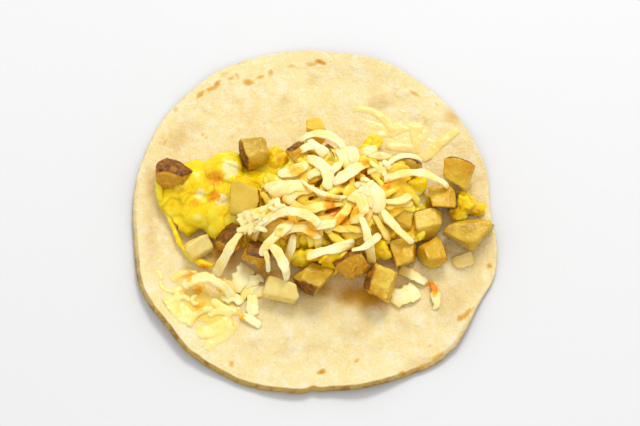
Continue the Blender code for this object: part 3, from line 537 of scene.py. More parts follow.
class Finish:
    """A procedural material that is put together node by node. Sizes are in millimetres."""

    def __init__(self, name):
        self.material = bpy.data.materials.new(name)
        self.material.use_nodes = True
        self.nodes = self.material.node_tree.nodes
        self.links = self.material.node_tree.links
        self.place = self.node("TexCoord", "Object", {})

    def fill(self, node, inputs):
        """Links an output to each of these inputs of a node, or sets a number, colour or vector on it."""
        for key, value in inputs.items():
            socket = node.inputs[key]
            if isinstance(value, bpy.types.NodeSocket):
                self.links.new(value, socket)
            else:
                socket.default_value = (*value, 1.0) if socket.type == "RGBA" else value

    def node(self, kind, output, inputs, **looks):
        """Adds a node of this kind and gives its output."""
        node = self.nodes.new("ShaderNode" + kind)
        for key, value in looks.items():
            setattr(node, key, value)
        self.fill(node, inputs)
        return node.outputs[output]

    def value(self, name):
        """A value that the piece has on its points."""
        return self.node("Attribute", "Fac", {}, attribute_name=name)

    def noise(self, size, detail=3.0, roughness=0.5, warp=0.0, seed=0.0, vector=None):
        """Noise from 0 to 1 with swells of this size."""
        inputs = {"Vector": vector or self.place, "W": seed, "Scale": 1000.0 / size, "Detail": detail}
        inputs.update({"Roughness": roughness, "Distortion": warp})
        return self.node("TexNoise", "Fac", inputs, noise_dimensions="4D")

    def strand_place(self, along, round_it):
        """The strand's own coordinates, stretched by these two factors."""
        uv = self.node("UVMap", "UV", {}, uv_map="strand")
        return self.node("Mapping", "Vector", {"Vector": uv, "Scale": (along, round_it, 1.0)})

    def window(self, value, low, high):
        """0 below low and 1 above high, by a smooth step."""
        inputs = {"Value": value, "From Min": low, "From Max": high}
        return self.node("MapRange", "Result", inputs, interpolation_type="SMOOTHSTEP")

    def reckon(self, operation, first, second):
        """The two values added or multiplied, kept from 0 to 1."""
        return self.node("Math", "Value", {0: first, 1: second}, operation=operation, use_clamp=True)

    def times(self, first, second):
        return self.reckon("MULTIPLY", first, second)

    def blend(self, share, first, second, how="MIX"):
        """The first colour where the share is 0, and the second where it is 1."""
        return self.node("Mix", 2, {0: share, 6: first, 7: second}, data_type="RGBA", blend_type=how)

    def between(self, share, first, second):
        """The first number where the share is 0, and the second where it is 1."""
        return self.node("Mix", 0, {0: share, 2: first, 3: second}, data_type="FLOAT")

    def marked(self, colour, share, strength, own):
        """The colour, with its own colour over it by this share times the strength."""
        return self.blend(self.times(share, strength), colour, own)

    def clouds(self, colour, *rows):
        """The colour with layers of noise over it. A row has the noise's seed, size, detail, roughness and
        warp, the two levels between which it comes in, its strength, and its own colour."""
        for seed, size, detail, roughness, warp, low, high, strength, own in rows:
            share = self.window(self.noise(size, detail, roughness, warp, seed), low, high)
            colour = self.marked(colour, share, strength, own)
        return colour

    def patchy(self, name, low, high, *noise, seed):
        """A value that the piece has on its points, times noise between these two."""
        return self.times(self.value(name), self.between(self.noise(*noise, seed=seed), low, high))

    def relief(self, height, depth, below=None):
        """A bump of this depth, over the one below it if there is one."""
        inputs = {"Strength": 1.0, "Distance": depth * MM, "Height": height}
        if below:
            inputs["Normal"] = below
        return self.node("Bump", "Normal", inputs)

    def bumps(self, *rows):
        """Bumps over each other. A row has the noise's seed, size, detail, roughness and warp, and its
        depth."""
        normal = None
        for seed, size, detail, roughness, warp, depth in rows:
            normal = self.relief(self.noise(size, detail, roughness, warp, seed), depth, normal)
        return normal

    def done(
        self, colour, roughness, normal, glow=0.0, depth=1.0, tint=(1.0, 0.6, 0.25), specular=0.24, dim=1.0
    ):
        """Glow is the share of light that enters the food, and depth how far it spreads. Dim scales the
        colour."""
        inputs = {
            "Base Color": self.blend(1.0, colour, (dim, dim, dim), "MULTIPLY"),
            "Roughness": roughness,
            "Normal": normal,
            "Subsurface Weight": glow,
            "Subsurface Radius": tint,
            "Subsurface Scale": depth * MM,
            "Specular IOR Level": specular,
        }
        self.fill(self.nodes["Principled BSDF"], inputs)
        return self.material


# What the pieces lie on


class Ground:
    """The highest point of what lies on each square millimetre."""

    STEP = 1.0
    REACH = 108.0

    def __init__(self, floor_at, objects=()):
        self.side = int(2 * self.REACH / self.STEP) + 1
        line = np.arange(self.side) * self.STEP - self.REACH
        self.heights = floor_at(*np.meshgrid(line, line, indexing="ij"))
        for obj in objects:
            self.cover(points_of(obj))

    def index(self, *place):
        """The row and column of the square nearest to a place."""
        squares = (np.rint((part + self.REACH) / self.STEP).astype(int) for part in place)
        return tuple(np.clip(square, 0, self.side - 1) for square in squares)

    def cover(self, points):
        np.maximum.at(self.heights, self.index(points[:, 0], points[:, 1]), points[:, 2])

    def at(self, x, y):
        return self.heights[self.index(x, y)]

    def between_squares(self, heights, x, y):
        """Heights read between the middles of the squares."""
        row = np.clip((x + self.REACH) / self.STEP, 0, self.side - 1.001)
        column = np.clip((y + self.REACH) / self.STEP, 0, self.side - 1.001)
        r, c = row.astype(int), column.astype(int)
        a, b = row - r, column - c
        near = (1 - b) * heights[r, c] + b * heights[r, c + 1]
        return (1 - a) * near + a * ((1 - b) * heights[r + 1, c] + b * heights[r + 1, c + 1])

    def softened(self, rounds):
        """The heights averaged with their four neighbours this many times."""
        soft = self.heights.copy()
        for _ in range(rounds):
            sides = soft[:-2, 1:-1] + soft[2:, 1:-1] + soft[1:-1, :-2] + soft[1:-1, 2:]
            soft[1:-1, 1:-1] = sides / 4
        return soft

    def dip(self, points, rounds, reach, start=0.0):
        """How far each point lies under the softened heights, as a share of the reach."""
        soft = self.between_squares(self.softened(rounds), points[:, 0], points[:, 1])
        return np.clip((soft + start - points[:, 2]) / reach, 0, 1)


def tightest_over(run, floor):
    """The lowest line that stays over the floor and hangs as a parabola between the places that hold it:
    the tightest straight-sided line over the floor plus the parabola, less the parabola."""
    curve = DROOP * (run - run.mean()) ** 2 / 2
    level = floor + curve
    left, right = run[:, None, None], run[None, :, None]
    at = run[None, None, :]
    inside = (left <= at) & (at <= right)
    share = np.where(right > left, (at - left) / np.where(right > left, right - left, 1), 0)
    chord = level[:, None, None] * (1 - share) + level[None, :, None] * share
    return np.where(inside, chord, -1e9).max(axis=(0, 1)) - curve


# Tortilla


def bells(angle, table):
    """The sum of the table's bumps: each is its size times e to minus the square of the angle away from
    it in half widths."""
    away = (angle[..., None] - table[:, 0] + 180) % 360 - 180
    return (table[:, 1] * np.exp(-((away / table[:, 2]) ** 2))).sum(axis=-1)


def edge_radius(angle, radius):
    """The radius, with the bulges and nicks of the outline and a fine unevenness."""
    turn = np.radians(angle)
    rim = np.stack([100 * np.cos(turn), 100 * np.sin(turn), 0 * turn], axis=-1)
    uneven = 0.30 * cloud(rim, 7.0, 5) + 0.14 * cloud(rim, 2.6, 6)
    return radius + bells(angle, EDGE_BULGES) + bells(angle, NICKS) + uneven


def rim_lift(angle, share):
    """How far the tortilla is lifted off the table at this share of its radius."""
    rise = smooth_step((share - RIM_START) / (1 - RIM_START)) ** 1.4
    return (0.5 + bells(angle, RIM_LIFTS)) * rise


def tortilla_relief(x, y, angle, share):
    """What stands over the plain upper face: blisters, each its height times the square of one less the
    square of the share of its radius; slow and fine swells; and creases that fade in near the rim."""
    points = np.stack([x, y, 0 * x], axis=-1)
    away = points[..., None, :2] - BLISTERS[:, :2]
    part = np.hypot(away[..., 0], away[..., 1]) / BLISTERS[:, 2]
    part = np.clip(part + 0.16 * cloud(points, 5.0, 9)[..., None], 0, 1)
    height = (BLISTERS[:, 3] * (1 - part**2) ** 2).sum(axis=-1)
    height += 0.26 * cloud(points, 21.0, 1) + 0.22 * cloud(points, 9.0, 2)
    height += 0.14 * fractal(points, 3.4, 3) - 0.16 * creased(points, 13.0, 4)
    near_rim = smooth_step((share - 0.84) / 0.08) * (1 - 0.5 * smooth_step((share - 0.96) / 0.04))
    return height + bells(angle, CREASES) * near_rim


def tortilla_top(x, y, radius, thickness):
    """The height of the tortilla's upper face, and 0 beyond its edge."""
    across, back = x - TORTILLA_CENTRE[0], y - TORTILLA_CENTRE[1]
    angle = np.degrees(np.arctan2(back, across)) % 360
    share = np.hypot(across, back) / edge_radius(angle, radius)
    body = thickness - (thickness - EDGE_THICKNESS) * smooth_step((share - 0.9) / 0.1)
    relief = tortilla_relief(x, y, angle, share) * smooth_step((1 - share) / 0.03)
    return np.where(share < 1, rim_lift(angle, share) + body + relief, 0.0)


def tortilla_shell(radius, thickness):
    """A disc on a grid of angle by row: out along the underside, half round the edge, and back over the
    top. A row is a share of the edge's radius. The edge is wider, as if rolled, towards the front."""
    angle = np.arange(SPOKES) * 360 / SPOKES
    turn = np.radians(angle)
    edge = edge_radius(angle, radius)
    thin = EDGE_THICKNESS / 2
    last = 1 - thin / radius
    rolled = thin * (1 + EDGE_ROLL * smooth_step(0.5 - 0.9 * np.sin(turn + FRONT_LEAN)))
    rings = []
    for share in np.linspace(0, 1, UNDER_RINGS + 1)[1:] ** 0.8 * last:
        rings.append((edge * share, rim_lift(angle, np.full(SPOKES, share))))
    middle = rim_lift(angle, np.ones(SPOKES)) + thin
    for lean in np.radians(np.linspace(-90, 90, EDGE_RINGS + 2)[1:-1]):
        inner = rolled if lean > 0 else thin
        rings.append((edge * last + thin - inner * (1 - math.cos(lean)), middle + thin * math.sin(lean)))
    for row in last * (1 - np.linspace(0, 1, TOP_RINGS + 1)[:-1]):
        reach = edge * (row * (1 - (rolled - thin) / edge))
        x = TORTILLA_CENTRE[0] + reach * np.cos(turn)
        y = TORTILLA_CENTRE[1] + reach * np.sin(turn)
        rings.append((reach, tortilla_top(x, y, radius, thickness)))
    reach, z = np.array(rings).transpose(1, 0, 2)
    x = TORTILLA_CENTRE[0] + reach * np.cos(turn)
    y = TORTILLA_CENTRE[1] + reach * np.sin(turn)
    return closed_grid(np.stack([x, y, z], axis=-1))


def underside_and_front_shade():
    """How far each point of the tortilla's shell has the underside's browned colour: all of it below, less
    and less up the edge, and up to the first ring of the top at the front, where that colour is painted shade
    on the rolled edge."""
    front = smooth_step(-0.1 - 1.2 * np.sin(np.arange(SPOKES) * 2 * math.pi / SPOKES + FRONT_LEAN))
    up_the_edge = np.linspace(0, 1, EDGE_RINGS)[:, None]
    edge = 1 - 0.9 * up_the_edge ** (1 + 5 * front) * (1 - front)
    rings = [np.ones(UNDER_RINGS * SPOKES), edge.ravel(), front, np.zeros((TOP_RINGS - 1) * SPOKES)]
    return np.concatenate([*rings, [1, 0]])


def tortilla_floor(scene):
    """The function that gives the height of the scene's tortilla at each place."""
    settings = scene.burrito_tortilla
    radius, thickness = settings.radius / MM, settings.thickness / MM
    return lambda x, y: tortilla_top(x, y, radius, thickness)


def tortilla_material(settings):
    """Cream with floury and warmer clouds, faint blotches, toasted marks, seeped-in fat, a painted shadow
    along the heap's foot, an olive band of painted shade on the front edge, and a browned underside."""
    finish = Finish("flour_tortilla")
    colour = finish.clouds(
        tuple(settings.cream),
        (1, 24, 4, 0.6, 0.4, 0.38, 0.7, 0.6, linear(251, 227, 158)),
        (2, 8, 5, 0.65, 0.3, 0.46, 0.7, 0.85, linear(255, 246, 216)),
        (11, 3.4, 5, 0.7, 0.4, 0.50, 0.64, 0.7, linear(255, 247, 214)),
        (8, 5.5, 5, 0.7, 0.5, 0.52, 0.72, 0.45, linear(244, 212, 130)),
        (3, 1.7, 4, 0.7, 0.0, 0.58, 0.8, 0.65, linear(236, 202, 122)),
    )
    blotch = finish.patchy("blotch", 0.2, 1.6, 4, 4, 0.65, 0.6, seed=9)
    colour = finish.marked(colour, blotch, 0.7, linear(224, 182, 98))
    oil = finish.patchy("oil", 0.4, 1.3, 6, 4, 0.6, 0.5, seed=10)
    colour = finish.marked(colour, oil, 0.45, linear(248, 206, 96))
    # painted shadow along the heap's foot: darker, more saturated yellow
    colour = finish.marked(colour, finish.value("painted_shadow"), 0.95, linear(216, 160, 10))
    toast = finish.value("toast")
    colour = finish.blend(finish.window(toast, 0.05, 0.6), colour, linear(238, 190, 98))
    colour = finish.blend(finish.window(toast, 0.6, 1.15), colour, tuple(settings.toasted))
    speckle = finish.window(finish.noise(7, 4, 0.6, 0.4, seed=4), 0.42, 0.62)
    # the underside's browned colour; on the front edge and the first ring of the top it is painted shade
    underside = finish.blend(speckle, linear(192, 164, 92), linear(160, 122, 62))
    colour = finish.blend(finish.value("under"), colour, underside)
    roughness = finish.between(oil, 0.6, 0.35)
    normal = finish.bumps((5, 3.8, 5, 0.68, 0.2, 1.5), (6, 1.2, 3, 0.6, 0.0, 0.3))
    return finish.done(colour, roughness, normal, 0.35, 0.9, (1.0, 0.8, 0.45), dim=0.915)


# Egg


def lump(x, y, z, half_x, half_y, half_z, turn, seed, across=40, rough=0.16):
    """One curd: a sphere on a grid of turn by tilt, swollen by smooth noise and pressed in along
    creases, then stretched, turned and put in its place. Nothing of it goes below the tortilla's top."""
    tilt = np.linspace(-90, 90, across // 2 + 1)[1:-1] * math.pi / 180
    swing = np.arange(across) * 2 * math.pi / across
    tilt, swing = np.meshgrid(tilt, swing, indexing="ij")
    ball = np.stack([np.cos(tilt) * np.cos(swing), np.cos(tilt) * np.sin(swing), np.sin(tilt)], axis=-1)
    about = np.array(Euler((0, 0, math.radians(turn))).to_matrix())

    def shaped(unit):
        swell = 1 + rough * cloud(unit, 0.8, seed) + 0.35 * rough * cloud(unit, 0.4, seed + 1)
        swell -= 0.5 * rough * creased(unit, 0.8, seed + 2)
        placed = (unit * swell[..., None] * (half_x, half_y, half_z)) @ about.T + (x, y, z)
        placed[..., 2] = np.maximum(placed[..., 2], EGG_FLOOR)
        return placed

    return closed_grid(shaped(ball), *shaped(np.array([[0, 0, -1.0], [0, 0, 1.0]])))


def mound_shell():
    """The egg's mound on a grid of turn by level: an ellipse fuller than round, its share of the full
    outline and its height read from the levels, and waved by noise."""
    steps = np.linspace(0, len(HEAP_LEVELS) - 1, HEAP_ROWS)[1:]
    share, height = (np.interp(steps, range(len(HEAP_LEVELS)), level)[:, None] for level in HEAP_LEVELS.T)
    turn = (np.arange(HEAP_SPOKES) * 2 * math.pi / HEAP_SPOKES)[None, :]
    x = HEAP_HALF_LENGTH * share * np.sign(np.cos(turn)) * np.abs(np.cos(turn)) ** 0.8
    y = HEAP_HALF_WIDTH * share * np.sign(np.sin(turn)) * np.abs(np.sin(turn)) ** 0.9
    wave = 1 + 0.05 * cloud(np.stack(np.broadcast_arrays(x, y, height), axis=-1), 11.0, 21)
    across, back = turned(x, y, HEAP_TURN)
    across, back = across * wave + HEAP_CENTRE[0], back * wave + HEAP_CENTRE[1]
    return closed_grid(np.stack(np.broadcast_arrays(across, back, height), axis=-1))


def smooth_route(table, count):
    """The table's rows joined by a smooth curve through them (Catmull-Rom), read at even steps."""
    ends = np.concatenate([[2 * table[0] - table[1]], table, [2 * table[-1] - table[-2]]])
    at = np.linspace(0, len(table) - 1 - 1e-6, count)
    start = at.astype(int)
    share = (at - start)[:, None]
    before, near, far, after = (ends[start + step] for step in range(4))
    return (
        near
        + (far - before) * share / 2
        + (before - 2.5 * near + 2 * far - after / 2) * share**2
        + (1.5 * (near - far) + (after - before) / 2) * share**3
    )


def frames_along(route):
    """At each point of a route the direction ahead, the level one across it and the one square to both."""
    ahead = np.gradient(route, axis=0)
    ahead /= np.linalg.norm(ahead, axis=1, keepdims=True)
    across = np.stack([-ahead[:, 1], ahead[:, 0], 0 * ahead[:, 0]], axis=-1)
    across /= np.linalg.norm(across, axis=1, keepdims=True)
    return ahead, across, np.cross(ahead, across)


def cord_shell(route, radius):
    """Circles of these radii carried along the route."""
    ahead, across, up = frames_along(route)
    turn = np.arange(STRING_SIDES) * 2 * math.pi / STRING_SIDES
    ring = across[:, None] * np.cos(turn)[:, None] + up[:, None] * np.sin(turn)[:, None]
    rings = route[:, None] + ring * radius[:, None, None]
    return closed_grid(rings, route[0] - ahead[0] * radius[0] * 0.7, route[-1] + ahead[-1] * radius[-1] * 0.7)


def small_curds(count, seed):
    """Places and sizes of crumbly curds, spread evenly over the mound's right part."""
    drawn = random.Random(seed)
    made = []
    for share, along, side in spiral(count):
        x, y = turned(HEAP_HALF_LENGTH * along, HEAP_HALF_WIDTH * side, HEAP_TURN)
        x, y = x + HEAP_CENTRE[0], y + HEAP_CENTRE[1]
        if x < CURDS_START:
            continue
        z = float(np.interp(share, *CURD_LEVELS))
        size = drawn.uniform(2.6, 5.2)
        half = (size, size * drawn.uniform(0.6, 0.9), size * drawn.uniform(0.5, 0.8))
        made.append((x, y, z, *half, drawn.uniform(0, 180)))
    return made


def egg_piece(name, shells, voxel, material, node, strings=()):
    """Curds melted into one skin. Its crumbly part is pushed out by swells and in along creases. Its smooth
    part lies in sheets: each is a step outwards where a slow noise passes a level. A string is only joined
    to it."""
    shell, outward = fused(name, shells, voxel, EGG_ROUNDS)
    points = shell.points
    crumbly = smooth_step((points[:, 0] - CURDS_START) / 14)
    bent = points + 1.6 * np.stack([cloud(points, 6.0, seed) for seed in (37, 38, 39)], axis=-1)
    swells, dents = creased(bent, 11.0, 31), creased(bent, 8.0, 32)
    folds = 1.5 * swells + 0.35 * creased(bent, 4.6, 35) - 1.0 * dents - 0.3
    broad = smooth_step((cloud(bent, 12.0, 43) + 0.06) / 0.10)
    narrow = smooth_step((cloud(bent, 9.0, 44) - 0.10) / 0.12)
    sheets = 1.3 * broad + 1.1 * narrow + 0.5 * cloud(bent, 7.0, 45) - 1.2
    folds = sheets + crumbly * (folds - sheets)
    grains = 0.3 * fractal(points, 2.6, 36) - 0.3 * creased(points, 3.2, 33)
    fine = 0.12 * fractal(points, 2.2, 34) + crumbly * grains
    shell.points = points + outward * (folds + fine + 0.25)[:, None]
    shell.points[:, 2] = np.maximum(shell.points[:, 2], np.minimum(points[:, 2], EGG_FLOOR))
    # painted shade: darker in the crumbly part's creases and along the edges of the smooth sheets
    creases = crumbly * (dents - 0.8 * swells)
    creases += (1 - crumbly) * 2 * np.maximum(broad * (1 - broad), narrow * (1 - narrow))
    shell = joined([shell, *strings])
    points = np.concatenate([points, *(string.points for string in strings)])
    creases = np.pad(creases, (0, len(points) - len(creases)))
    values = {
        "white": spots(points, EGG_WHITES, 0.7, 41),
        "browned": spots(points, EGG_BROWNED, 0.6, 42),
        "painted_crease_shade": np.clip(creases, 0, 1),
    }
    make_piece(name, shell, material, values, "egg", node)


def egg_material(settings):
    """Glossy yellow with paler and deeper clouds, painted shade in its creases, white and browned places."""
    finish = Finish("scrambled_egg")
    colour = finish.clouds(
        tuple(settings.yolk),
        (1, 8, 3, 0.55, 0.6, 0.46, 0.68, 1.0, linear(255, 240, 84)),
        (2, 5, 4, 0.6, 0.6, 0.5, 0.7, 0.7, linear(250, 194, 4)),
    )
    # painted shade: darker orange in the creases and along the sheets' edges
    colour = finish.marked(colour, finish.value("painted_crease_shade"), 0.6, linear(232, 160, 4))
    white = finish.window(finish.patchy("white", 0.4, 1.6, 3, 3, seed=3), 0.35, 0.95)
    colour = finish.marked(colour, white, 0.85, tuple(settings.white))
    brown = finish.patchy("browned", 0.0, 1.7, 1.6, 4, 0.7, seed=4)
    colour = finish.blend(finish.window(brown, 0.25, 0.7), colour, linear(250, 176, 16))
    colour = finish.blend(finish.window(brown, 0.6, 0.95), colour, tuple(settings.browned))
    normal = finish.bumps((5, 3.4, 4, 0.55, 0.4, 0.4), (7, 0.9, 3, 0.6, 0.0, 0.05))
    roughness = finish.between(finish.noise(5, 2, seed=6), 0.16, 0.36)
    return finish.done(colour, roughness, normal, 0.4, 1.6, (1.0, 0.7, 0.12), specular=0.32, dim=0.91)


# Potato


def cube_grid(steps):
    """Even points over a cube from -1 to 1, welded along its edges, and its squares facing outwards."""
    line = np.arange(0, steps + 1) * 2 - steps
    first, second = np.meshgrid(line, line, indexing="ij")
    corners, faces, start = [], [], 0
    side = steps + 1
    row, column = np.meshgrid(np.arange(steps), np.arange(steps), indexing="ij")
    a = row * side + column
    quad = np.stack([a, a + side, a + side + 1, a + 1], axis=-1).reshape(-1, 4)
    for axis in range(3):
        for end in (-1, 1):
            face = np.empty((side, side, 3), int)
            face[..., axis] = end * steps
            face[..., (axis + 1) % 3] = first
            face[..., (axis + 2) % 3] = second
            corners.append(face.reshape(-1, 3))
            faces.append((quad if end > 0 else quad[:, ::-1]) + start)
            start += side * side
    welded, index = np.unique(np.concatenate(corners), axis=0, return_inverse=True)
    return np.tan(welded / steps * math.pi / 4), index.reshape(-1)[np.concatenate(faces)]


def chunk_shell(number, depth, width, height, yaw, pitch, taper, sharpness, roughness):
    """A chunk cut from a round potato, as a distance from its middle along each direction. The distances
    to the five cuts, to the skin's sphere and to the chipped corners and edges are joined by a rounded
    minimum: the sum of their inverse powers, to the inverse power. The highest share of that sum tells
    flesh from skin and face from edge."""
    drawn = random.Random(100 + number)
    lean = math.radians(taper)
    cuts = (
        ((-depth / 2, 0, 0), (-1, 0, 0)),
        ((0, width / 2, 0), (-math.sin(lean), math.cos(lean), 0)),
        ((0, -width / 2, 0), (-math.sin(lean), -math.cos(lean), 0)),
        ((0, 0, height / 2), (0, 0, 1)),
        ((0, 0, -height / 2), (0, 0, -1)),
    )
    lattice, quads = cube_grid(CHUNK_STEPS)
    ray = lattice * (depth / 2, width / 2, height / 2)
    ray /= np.linalg.norm(ray, axis=1, keepdims=True)
    reaches = []
    for point, normal in cuts:
        tilt = Euler([math.radians(drawn.uniform(-CUT_TILT, CUT_TILT)) for _ in range(3)]).to_matrix()
        normal = np.array(tilt) @ np.array(normal, float)
        slant = ray @ normal
        reach = np.dot(point, normal) / np.maximum(slant, 0.02)
        reaches.append(np.where(slant > 0.02, reach, OUT_OF_REACH))
    middle = depth / 2 - POTATO_RADIUS
    nearer = ray[:, 0] * middle
    reaches.append(nearer + np.sqrt(nearer**2 - middle**2 + POTATO_RADIUS**2))
    for _ in range(CHIPPED_CORNERS):
        corner = np.array([drawn.choice((-1, 1)) * half / 2 for half in (depth, width, height)])
        corner[drawn.randrange(3)] *= drawn.choice((0.0, 1.0))
        far = np.linalg.norm(corner)
        slant = np.maximum(ray @ (corner / far), 0.02)
        reaches.append(np.minimum(drawn.uniform(*CHIPPED) * far / slant, OUT_OF_REACH))
    powers = np.array(reaches) ** -float(sharpness)
    reach = powers.sum(axis=0) ** (-1 / sharpness)
    shares = powers / powers.sum(axis=0)
    skin = smooth_step((shares[len(cuts)] - 0.06) / 0.3)
    edge = np.clip((1 - shares.max(axis=0)) * 2, 0, 1)
    heat = np.array([drawn.random() ** 1.5 for _ in reaches]) @ shares
    local = ray * reach[:, None] + (number * 61.0, 0, 0)
    wrinkles = 0.28 * fractal(local, 3.0, 51) - 0.38 * creased(local, 2.6, 52)
    grain = 0.2 * fractal(local, 2.2, 53) + 0.62 * cloud(local, 6.0, 54)
    nibbled = -(0.5 + 1.1 * roughness) * edge * np.clip(cloud(local, 3.4, 55), 0, 1)
    crisp = roughness * 0.8 * (fractal(local, 2.2, 56) - 0.6 * creased(local, 1.8, 57))
    reach = reach + skin * wrinkles + (1 - skin) * (grain + crisp) + nibbled
    about = np.array(Euler((0, math.radians(pitch), math.radians(yaw))).to_matrix())
    points = (ray * reach[:, None]) @ about.T
    return Shell(points, quads, np.empty((0, 3), int)), {"skin": skin, "edge": edge, "heat": heat}


def potato_material(name, flesh, deep, skin, toasting, rind_shade=0.26):
    """Flesh with soft clouds, toasted along its edges and on some faces, under a brown, mottled skin."""
    finish = Finish(name)
    colour = finish.clouds(
        flesh,
        (1, 9, 3, 0.5, 0.3, 0.38, 0.66, 1.0, deep),
        (2, 1.6, 4, 0.7, 0.0, 0.55, 0.8, 0.45, deep),
    )
    patches = finish.times(finish.noise(4.0, 5, 0.7, 0.5, seed=3), 0.75)
    toasted = finish.reckon("ADD", finish.times(finish.value("edge"), 0.3), patches)
    toasted = finish.reckon("ADD", finish.times(finish.value("heat"), 0.27), toasted)
    colour = finish.marked(colour, finish.window(toasted, 0.42, 0.8), toasting, linear(210, 148, 28))
    colour = finish.marked(colour, finish.window(toasted, 0.66, 0.98), 0.8 * toasting, linear(150, 84, 14))
    colour = finish.clouds(colour, (8, 1.5, 4, 0.7, 0.4, 0.50, 0.68, 0.7 * toasting, linear(253, 230, 140)))
    rind = finish.clouds(
        skin,
        (4, 3.2, 5, 0.7, 0.5, 0.38, 0.66, 1.0, tuple(rind_shade * share for share in skin)),
        (5, 5.5, 3, 0.6, 0.0, 0.54, 0.72, 0.7, linear(214, 150, 40)),
    )
    colour = finish.blend(finish.value("skin"), colour, rind)
    normal = finish.bumps((6, 2.6, 4, 0.6, 0.3, 0.5), (7, 0.8, 3, 0.6, 0.0, 0.1))
    roughness = finish.between(finish.value("skin"), 0.2, 0.45)
    return finish.done(colour, roughness, normal, 0.3, 2.2, (1.0, 0.62, 0.06), specular=0.36, dim=0.86)


# Cheese


def arc(x, y, heading, length, bend, count):
    """Places along an arc of this length and total bend whose middle is at x, y."""
    share = (np.arange(count - 1) + 0.5) / (count - 1) - 0.5
    turn = np.radians(heading + bend * share)
    pace = length / (count - 1)
    steps = np.stack([np.cos(turn), np.sin(turn)], axis=-1) * pace
    places = np.concatenate([[[0, 0]], np.cumsum(steps, axis=0)])
    return places + np.array((x, y)) - places[count // 2]


def laid_route(ground, places, width, thickness, sink):
    """The middle line of a strand that lies on the ground: over the floor under its own width, no steeper
    than it can bend, it is as tight a line as its droop allows."""
    ahead = np.gradient(places, axis=0)
    ahead /= np.linalg.norm(ahead, axis=1, keepdims=True)
    across = np.stack([-ahead[:, 1], ahead[:, 0]], axis=-1)
    offsets = np.linspace(-0.36, 0.36, 5) * width
    under = places[:, None] + across[:, None] * offsets[:, None]
    beds = ground.at(under[..., 0], under[..., 1])
    floor = np.quantile(beds, 0.5, axis=1)
    run = np.concatenate([[0], np.cumsum(np.linalg.norm(np.diff(places, axis=0), axis=1))])
    floor = (floor[None, :] - STEEPEST * np.abs(run[:, None] - run[None, :])).max(axis=1)
    level = tightest_over(run, floor)
    for _ in range(2):
        level[1:-1] = (level[:-2] + 2 * level[1:-1] + level[2:]) / 4
    lean = np.clip((beds[:, -1] - beds[:, 0]) / (0.72 * width), -0.7, 0.7)
    lean = np.convolve(np.pad(lean, 4, mode="edge"), np.ones(9) / 9, mode="valid") * 0.55
    route = np.concatenate([places, (level + thickness / 2 - sink)[:, None]], axis=1)
    return route, np.arctan(lean)


def strand_shell(route, lean, width, thickness, seed, fullness=3.4, blunt=0.36, narrow=1.0, ragged=0.0):
    """A strand: a profile carried along the route. The profile is an oval with flattened sides: half its
    height is the root of one less a power, the fullness, of the share across. Lengthwise grooves lower it
    where a cosine of that share peaks. It is rolled by the lean of the ground, by noise and by a twist from
    end to end. Its size wavers, narrows to each end, and closes there as a quarter circle does, cut at a
    slant. Blunt is the length of that circle in widths. A ragged one has uneven edges."""
    drawn = random.Random(seed)
    twist, phase = drawn.uniform(-0.55, 0.55), drawn.random()
    slants, tapers = ((drawn.uniform(*span), drawn.uniform(*span)) for span in ((-0.7, 0.7), (0.05, 0.42)))
    count = len(route)
    ahead, across, up = frames_along(route)
    run = np.concatenate([[0], np.cumsum(np.linalg.norm(np.diff(route, axis=0), axis=1))])
    share = run / run[-1]
    noise_at = np.stack([run, np.full(count, seed * 17.0), np.zeros(count)], axis=-1)
    from_end = np.minimum(run, run[-1] - run)
    closing = np.sqrt(np.clip(1 - (1 - np.clip(from_end / (blunt * width), 0, 1)) ** 2, 0, 1))
    closing = np.maximum(closing, 0.12)
    narrowing = 1 - narrow * tapers[0] * np.clip(1 - share / 0.45, 0, 1) ** 1.3
    narrowing -= narrow * tapers[1] * np.clip(1 - (1 - share) / 0.45, 0, 1) ** 1.3
    half_width = width / 2 * closing * narrowing * (1.04 + 0.20 * cloud(noise_at, 6.0, 61))
    half_height = thickness / 2 * closing**0.7 * (1 + 0.16 * cloud(noise_at, 5.0, 62))
    roll = lean + 0.30 * cloud(noise_at, 9.0, 63) + twist * (share - 0.5)
    side_way = across * np.cos(roll)[:, None] + up * np.sin(roll)[:, None]
    top_way = up * np.cos(roll)[:, None] - across * np.sin(roll)[:, None]
    turn = np.arange(STRAND_SIDES) * 2 * math.pi / STRAND_SIDES
    wide = np.cos(turn)
    high = np.sign(np.sin(turn)) * np.sqrt(1 - np.abs(wide) ** fullness)
    grooved = 1.15 * wide[None, :] + phase + 0.3 * cloud(noise_at, 12.0, 68)[:, None]
    high = high * (1 - GROOVE_DEPTH * (0.5 + 0.5 * np.cos(2 * math.pi * grooved)) * (1 - wide**6))
    slanted = slants[0] * np.clip(1 - run / width, 0, 1)
    slanted += slants[1] * np.clip(1 - (run[-1] - run) / width, 0, 1)
    rings = (
        route[:, None]
        + side_way[:, None] * (wide * half_width[:, None])[..., None]
        + top_way[:, None] * (high * half_height[:, None])[..., None]
        + ahead[:, None] * (wide * (slanted * half_width)[:, None])[..., None]
    )
    dents = 0.12 * fractal(rings, 2.4, seed + 64) + 0.18 * cloud(rings, 6.0, seed + 65)
    dents += ragged * wide**2 * cloud(rings, 2.3, seed + 66) * 2
    rings = rings + (rings - route[:, None]) * (dents * closing[:, None])[..., None]
    return closed_grid(rings, route[0] - ahead[0] * 0.08 * width, route[-1] + ahead[-1] * 0.08 * width)


def lay_strand(ground, shape, thickness, sink, seed, **looks):
    """A strand that lies on the ground and sinks into it a little."""
    x, y, heading, length, bend, width = shape
    count = max(14, int(length * 1.6))
    places = arc(x, y, heading, length, bend, count)
    sway = np.stack([places[:, 0], places[:, 1], np.full(count, seed * 3.1)], axis=-1)
    places = places + 0.7 * np.stack([cloud(sway, 8.0, 66), cloud(sway, 8.0, 67)], axis=-1)
    route, lean = laid_route(ground, places, width, thickness, sink)
    return strand_shell(route, lean, width, thickness, seed, **looks)


